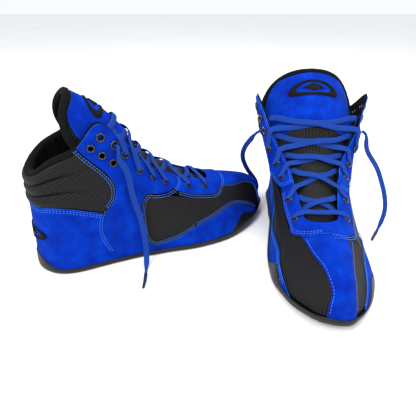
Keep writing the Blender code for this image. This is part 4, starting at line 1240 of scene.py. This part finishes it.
# ---------------------------------------------------------------- the laces
def lace_line(boot):
    """Control points of the laced run with the outward direction and the spread at each."""
    over_medial = (False, True, True, False, True, False)

    def tongue_top(s, height, across):
        t = np.interp(s, (0.34, 0.40, 0.46, 0.52, 0.58, 0.64, 0.69, 0.735),
                      (7, 6, 5, 4, 3, 2, 1, 0))
        low = boot.tongue_point(across, t, 2.0)
        high = boot.tongue_point(across, t, 3.0)
        return low + (high - low) * (height + 1.2), unit(high - low)

    def on_upper(s, v, side, lift, spread=1.0):
        return (boot.upper(s, v, side, lift), boot.normal(np.array(s), np.array(v), side), spread)

    def through(index, side):
        s, v = FRONT_EYELETS[index]
        return [on_upper(s, v, side, lift, spread)
                for lift, spread in ((-3.9, 0.85), (-1.0, 0.5), (1.6, 0.5), (3.7, 0.75))]

    def crossing(index, side):
        """From an eyelet over the facing's edge, straight across, and under the far facing."""
        s0, v0 = FRONT_EYELETS[index]
        s1 = FRONT_EYELETS[index + 1][0]
        on_top = over_medial[index] == (side > 0)
        if index > 0:
            steps = [on_upper(0.96 * s0 + 0.04 * s1, 0.55 * v0 + 0.45, side, 3.2),
                     on_upper(0.86 * s0 + 0.14 * s1, 0.985, side, 2.9)]
        else:
            steps = [on_upper(0.8 * s0 + 0.2 * s1, 0.95, side, -4.4)]
        far = on_upper(0.08 * s0 + 0.92 * s1, 0.955, -side, -4.1)
        near = steps[-1][0]
        rise = 2.0 if on_top else 0.3
        for share in (0.25, 0.5, 0.75):
            low, out = tongue_top(s0 + (s1 - s0) * share, rise, side * (1 - 2 * share))
            chord = near + (far[0] - near) * share
            height = (chord - low) @ out
            over = max(height, 0) + (0.9 if on_top else -0.2)
            steps.append((chord - out * height + out * max(over, 0), out, 1.0))
        steps.append(far)
        return steps

    def strand(side):
        found = list(reversed(through(0, side)))
        for index in range(boot.laced - 1):
            found += crossing(index, side)
            side = -side
            found += through(index + 1, side)
        return found

    ends = [on_upper(0.704, 0.955, side, 2.9) for side in (1, -1)]
    middle = (ends[0][0] + ends[1][0]) / 2 + np.array((0, 0, 0.6))
    bar = [ends[0], (middle, ends[0][1] + ends[1][1], 1.0), ends[1]]
    return list(reversed(strand(1))) + bar + strand(-1)


def build_lace(boot):
    found = lace_line(boot)
    points = np.array([p for p, n, w in found])
    normals = np.array([unit(n) for p, n, w in found])
    spread = np.array([w for p, n, w in found])
    chord = np.linalg.norm(np.diff(points, axis=0), axis=1)
    knots = np.concatenate([[0], np.cumsum(np.sqrt(np.maximum(chord, 0.5)))])
    places = np.linspace(0, knots[-1], len(found) * 7)
    path = boot.world(smooth_curve(knots, points)(places))
    outward = points_at(places, knots, normals)
    outward = (boot.world(outward) - boot.world(0 * outward)) / MM
    width = np.interp(places, knots, spread)
    shape = sweep(path, outward, LACE_REACH * MM * width, (1.15 - 0.45 * width) * MM, sides=12)
    obj = build(boot, "flat_lace", shape, [BRAID], sharp=100)
    settle(obj, boot, ("lace",))


def build_free_ends(boot):
    for word in ("medial", "lateral"):
        route = free_end_route(boot, word)
        height = route[:, 2]
        settled = np.maximum(height - np.clip((LACE_NEAR_FLOOR - height) / 5, 0, 1), 2.0)
        route[:, 2] = np.where(height < LACE_NEAR_FLOOR, settled, height)
        along = lengths_along(route)
        cut = along[-1] - AGLET_LENGTH
        lace = points_at(np.linspace(0.6, cut + 1.5, 130), along, route)
        low = np.clip((9 - lace[:, 2]) / 6, 0, 1)[:, None]
        normals = np.array((0.05, -0.85, 0.5)) * (1 - low) + np.array((0, 0, 1.0)) * low
        grow = np.clip(np.linspace(0, 9, 130), 0.55, 1) * np.clip(np.linspace(9, 0, 130), 0.5, 1)
        path = boot.world(lace)
        shape = sweep(path, normals, 3.1 * MM * grow, (1.15 - 0.4 * grow) * MM, sides=12)
        obj = build(boot, f"{word}_free_lace", shape, [BRAID], sharp=100)
        settle(obj, boot, (f"{word}_lace_end",))
        tip = boot.world(points_at(np.linspace(cut, along[-1], 40), along, route))
        out = np.tile((0.1, 0.1, 1.0), (40, 1))
        taper = np.interp(np.arange(40), (0, 2, 4, 30, 37, 39), (1.75, 2.0, 1.9, 1.6, 1.35, 0.9))
        ends = sweep(tip, out, taper * MM, taper * 0.85 * MM, sides=16, power=2.0)
        # The tip's dark navy is partly painted shade.
        aglet = build(boot, f"{word}_lace_tip", ends, [AGLET_WITH_SHADE], sharp=70)
        settle(aglet, boot, (f"{word}_aglet",))


# ---------------------------------------------------------------- scene
def area_light(name, place, aim, size, power):
    data = bpy.data.lights.new(name, "AREA")
    data.shape = "DISK"
    data.size = size
    data.energy = power
    light = bpy.data.objects.new(name, data)
    light.location = place
    light.rotation_euler = (Vector(aim) - Vector(place)).to_track_quat("-Z", "Y").to_euler()
    bpy.context.scene.collection.objects.link(light)


def make_setting():
    data = bpy.data.cameras.new("camera")
    data.lens = CAMERA_LENS
    data.sensor_width = 36.0
    data.clip_start = 0.01
    camera = bpy.data.objects.new("camera", data)
    camera.location = CAMERA_PLACE
    camera.rotation_euler = (math.radians(CAMERA_TILT), 0, 0)
    bpy.context.scene.collection.objects.link(camera)
    bpy.context.scene.camera = camera
    mesh = bpy.data.meshes.new("floor")
    corners = ((-1, -1), (1, -1), (1, 1), (-1, 1))
    mesh.from_pydata([(x * FLOOR_REACH, y * FLOOR_REACH, 0) for x, y in corners], [],
                     [(0, 1, 2, 3)])
    floor_material, tree, shader = new_material("pale_floor", (0.86, 0.86, 0.87), 0.7)
    tint(tree, shader, noise(tree, coordinates(tree), 3.0), (0.3, (0.84, 0.84, 0.85)),
         (0.7, (0.88, 0.88, 0.89)))
    mesh.materials.append(floor_material)
    floor = bpy.data.objects.new("floor", mesh)
    bpy.context.scene.collection.objects.link(floor)
    world = bpy.data.worlds.new("studio")
    world.use_nodes = True
    background = world.node_tree.nodes["Background"].inputs
    background["Color"].default_value = (0.95, 0.97, 1.0, 1)
    background["Strength"].default_value = 1.0
    bpy.context.scene.world = world
    bpy.context.scene.view_settings.view_transform = "Standard"
    area_light("key", (-0.7, -0.9, 1.3), (0, 0, 0.05), 0.8, 20)
    area_light("top", (0.3, 0.2, 1.5), (0, 0, 0), 1.0, 14)
    area_light("fill", (1.1, -0.9, 0.8), (0, 0, 0.05), 0.9, 9)


def finish_nodes():
    """The CAD nodes that still show get their own procedural materials."""
    for name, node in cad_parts.items():
        if name.endswith(("insole_board", "heel_stiffener")):
            for slot in node.material_slots:
                slot.material = BOARD


make_setting()
for settings in BOOTS:
    one = Boot(**settings)
    for make in (build_sole, build_insole, build_mesh_upper, build_collar, build_suede,
                 build_emblems, build_tongue, build_lace, build_free_ends):
        make(one)
finish_nodes()
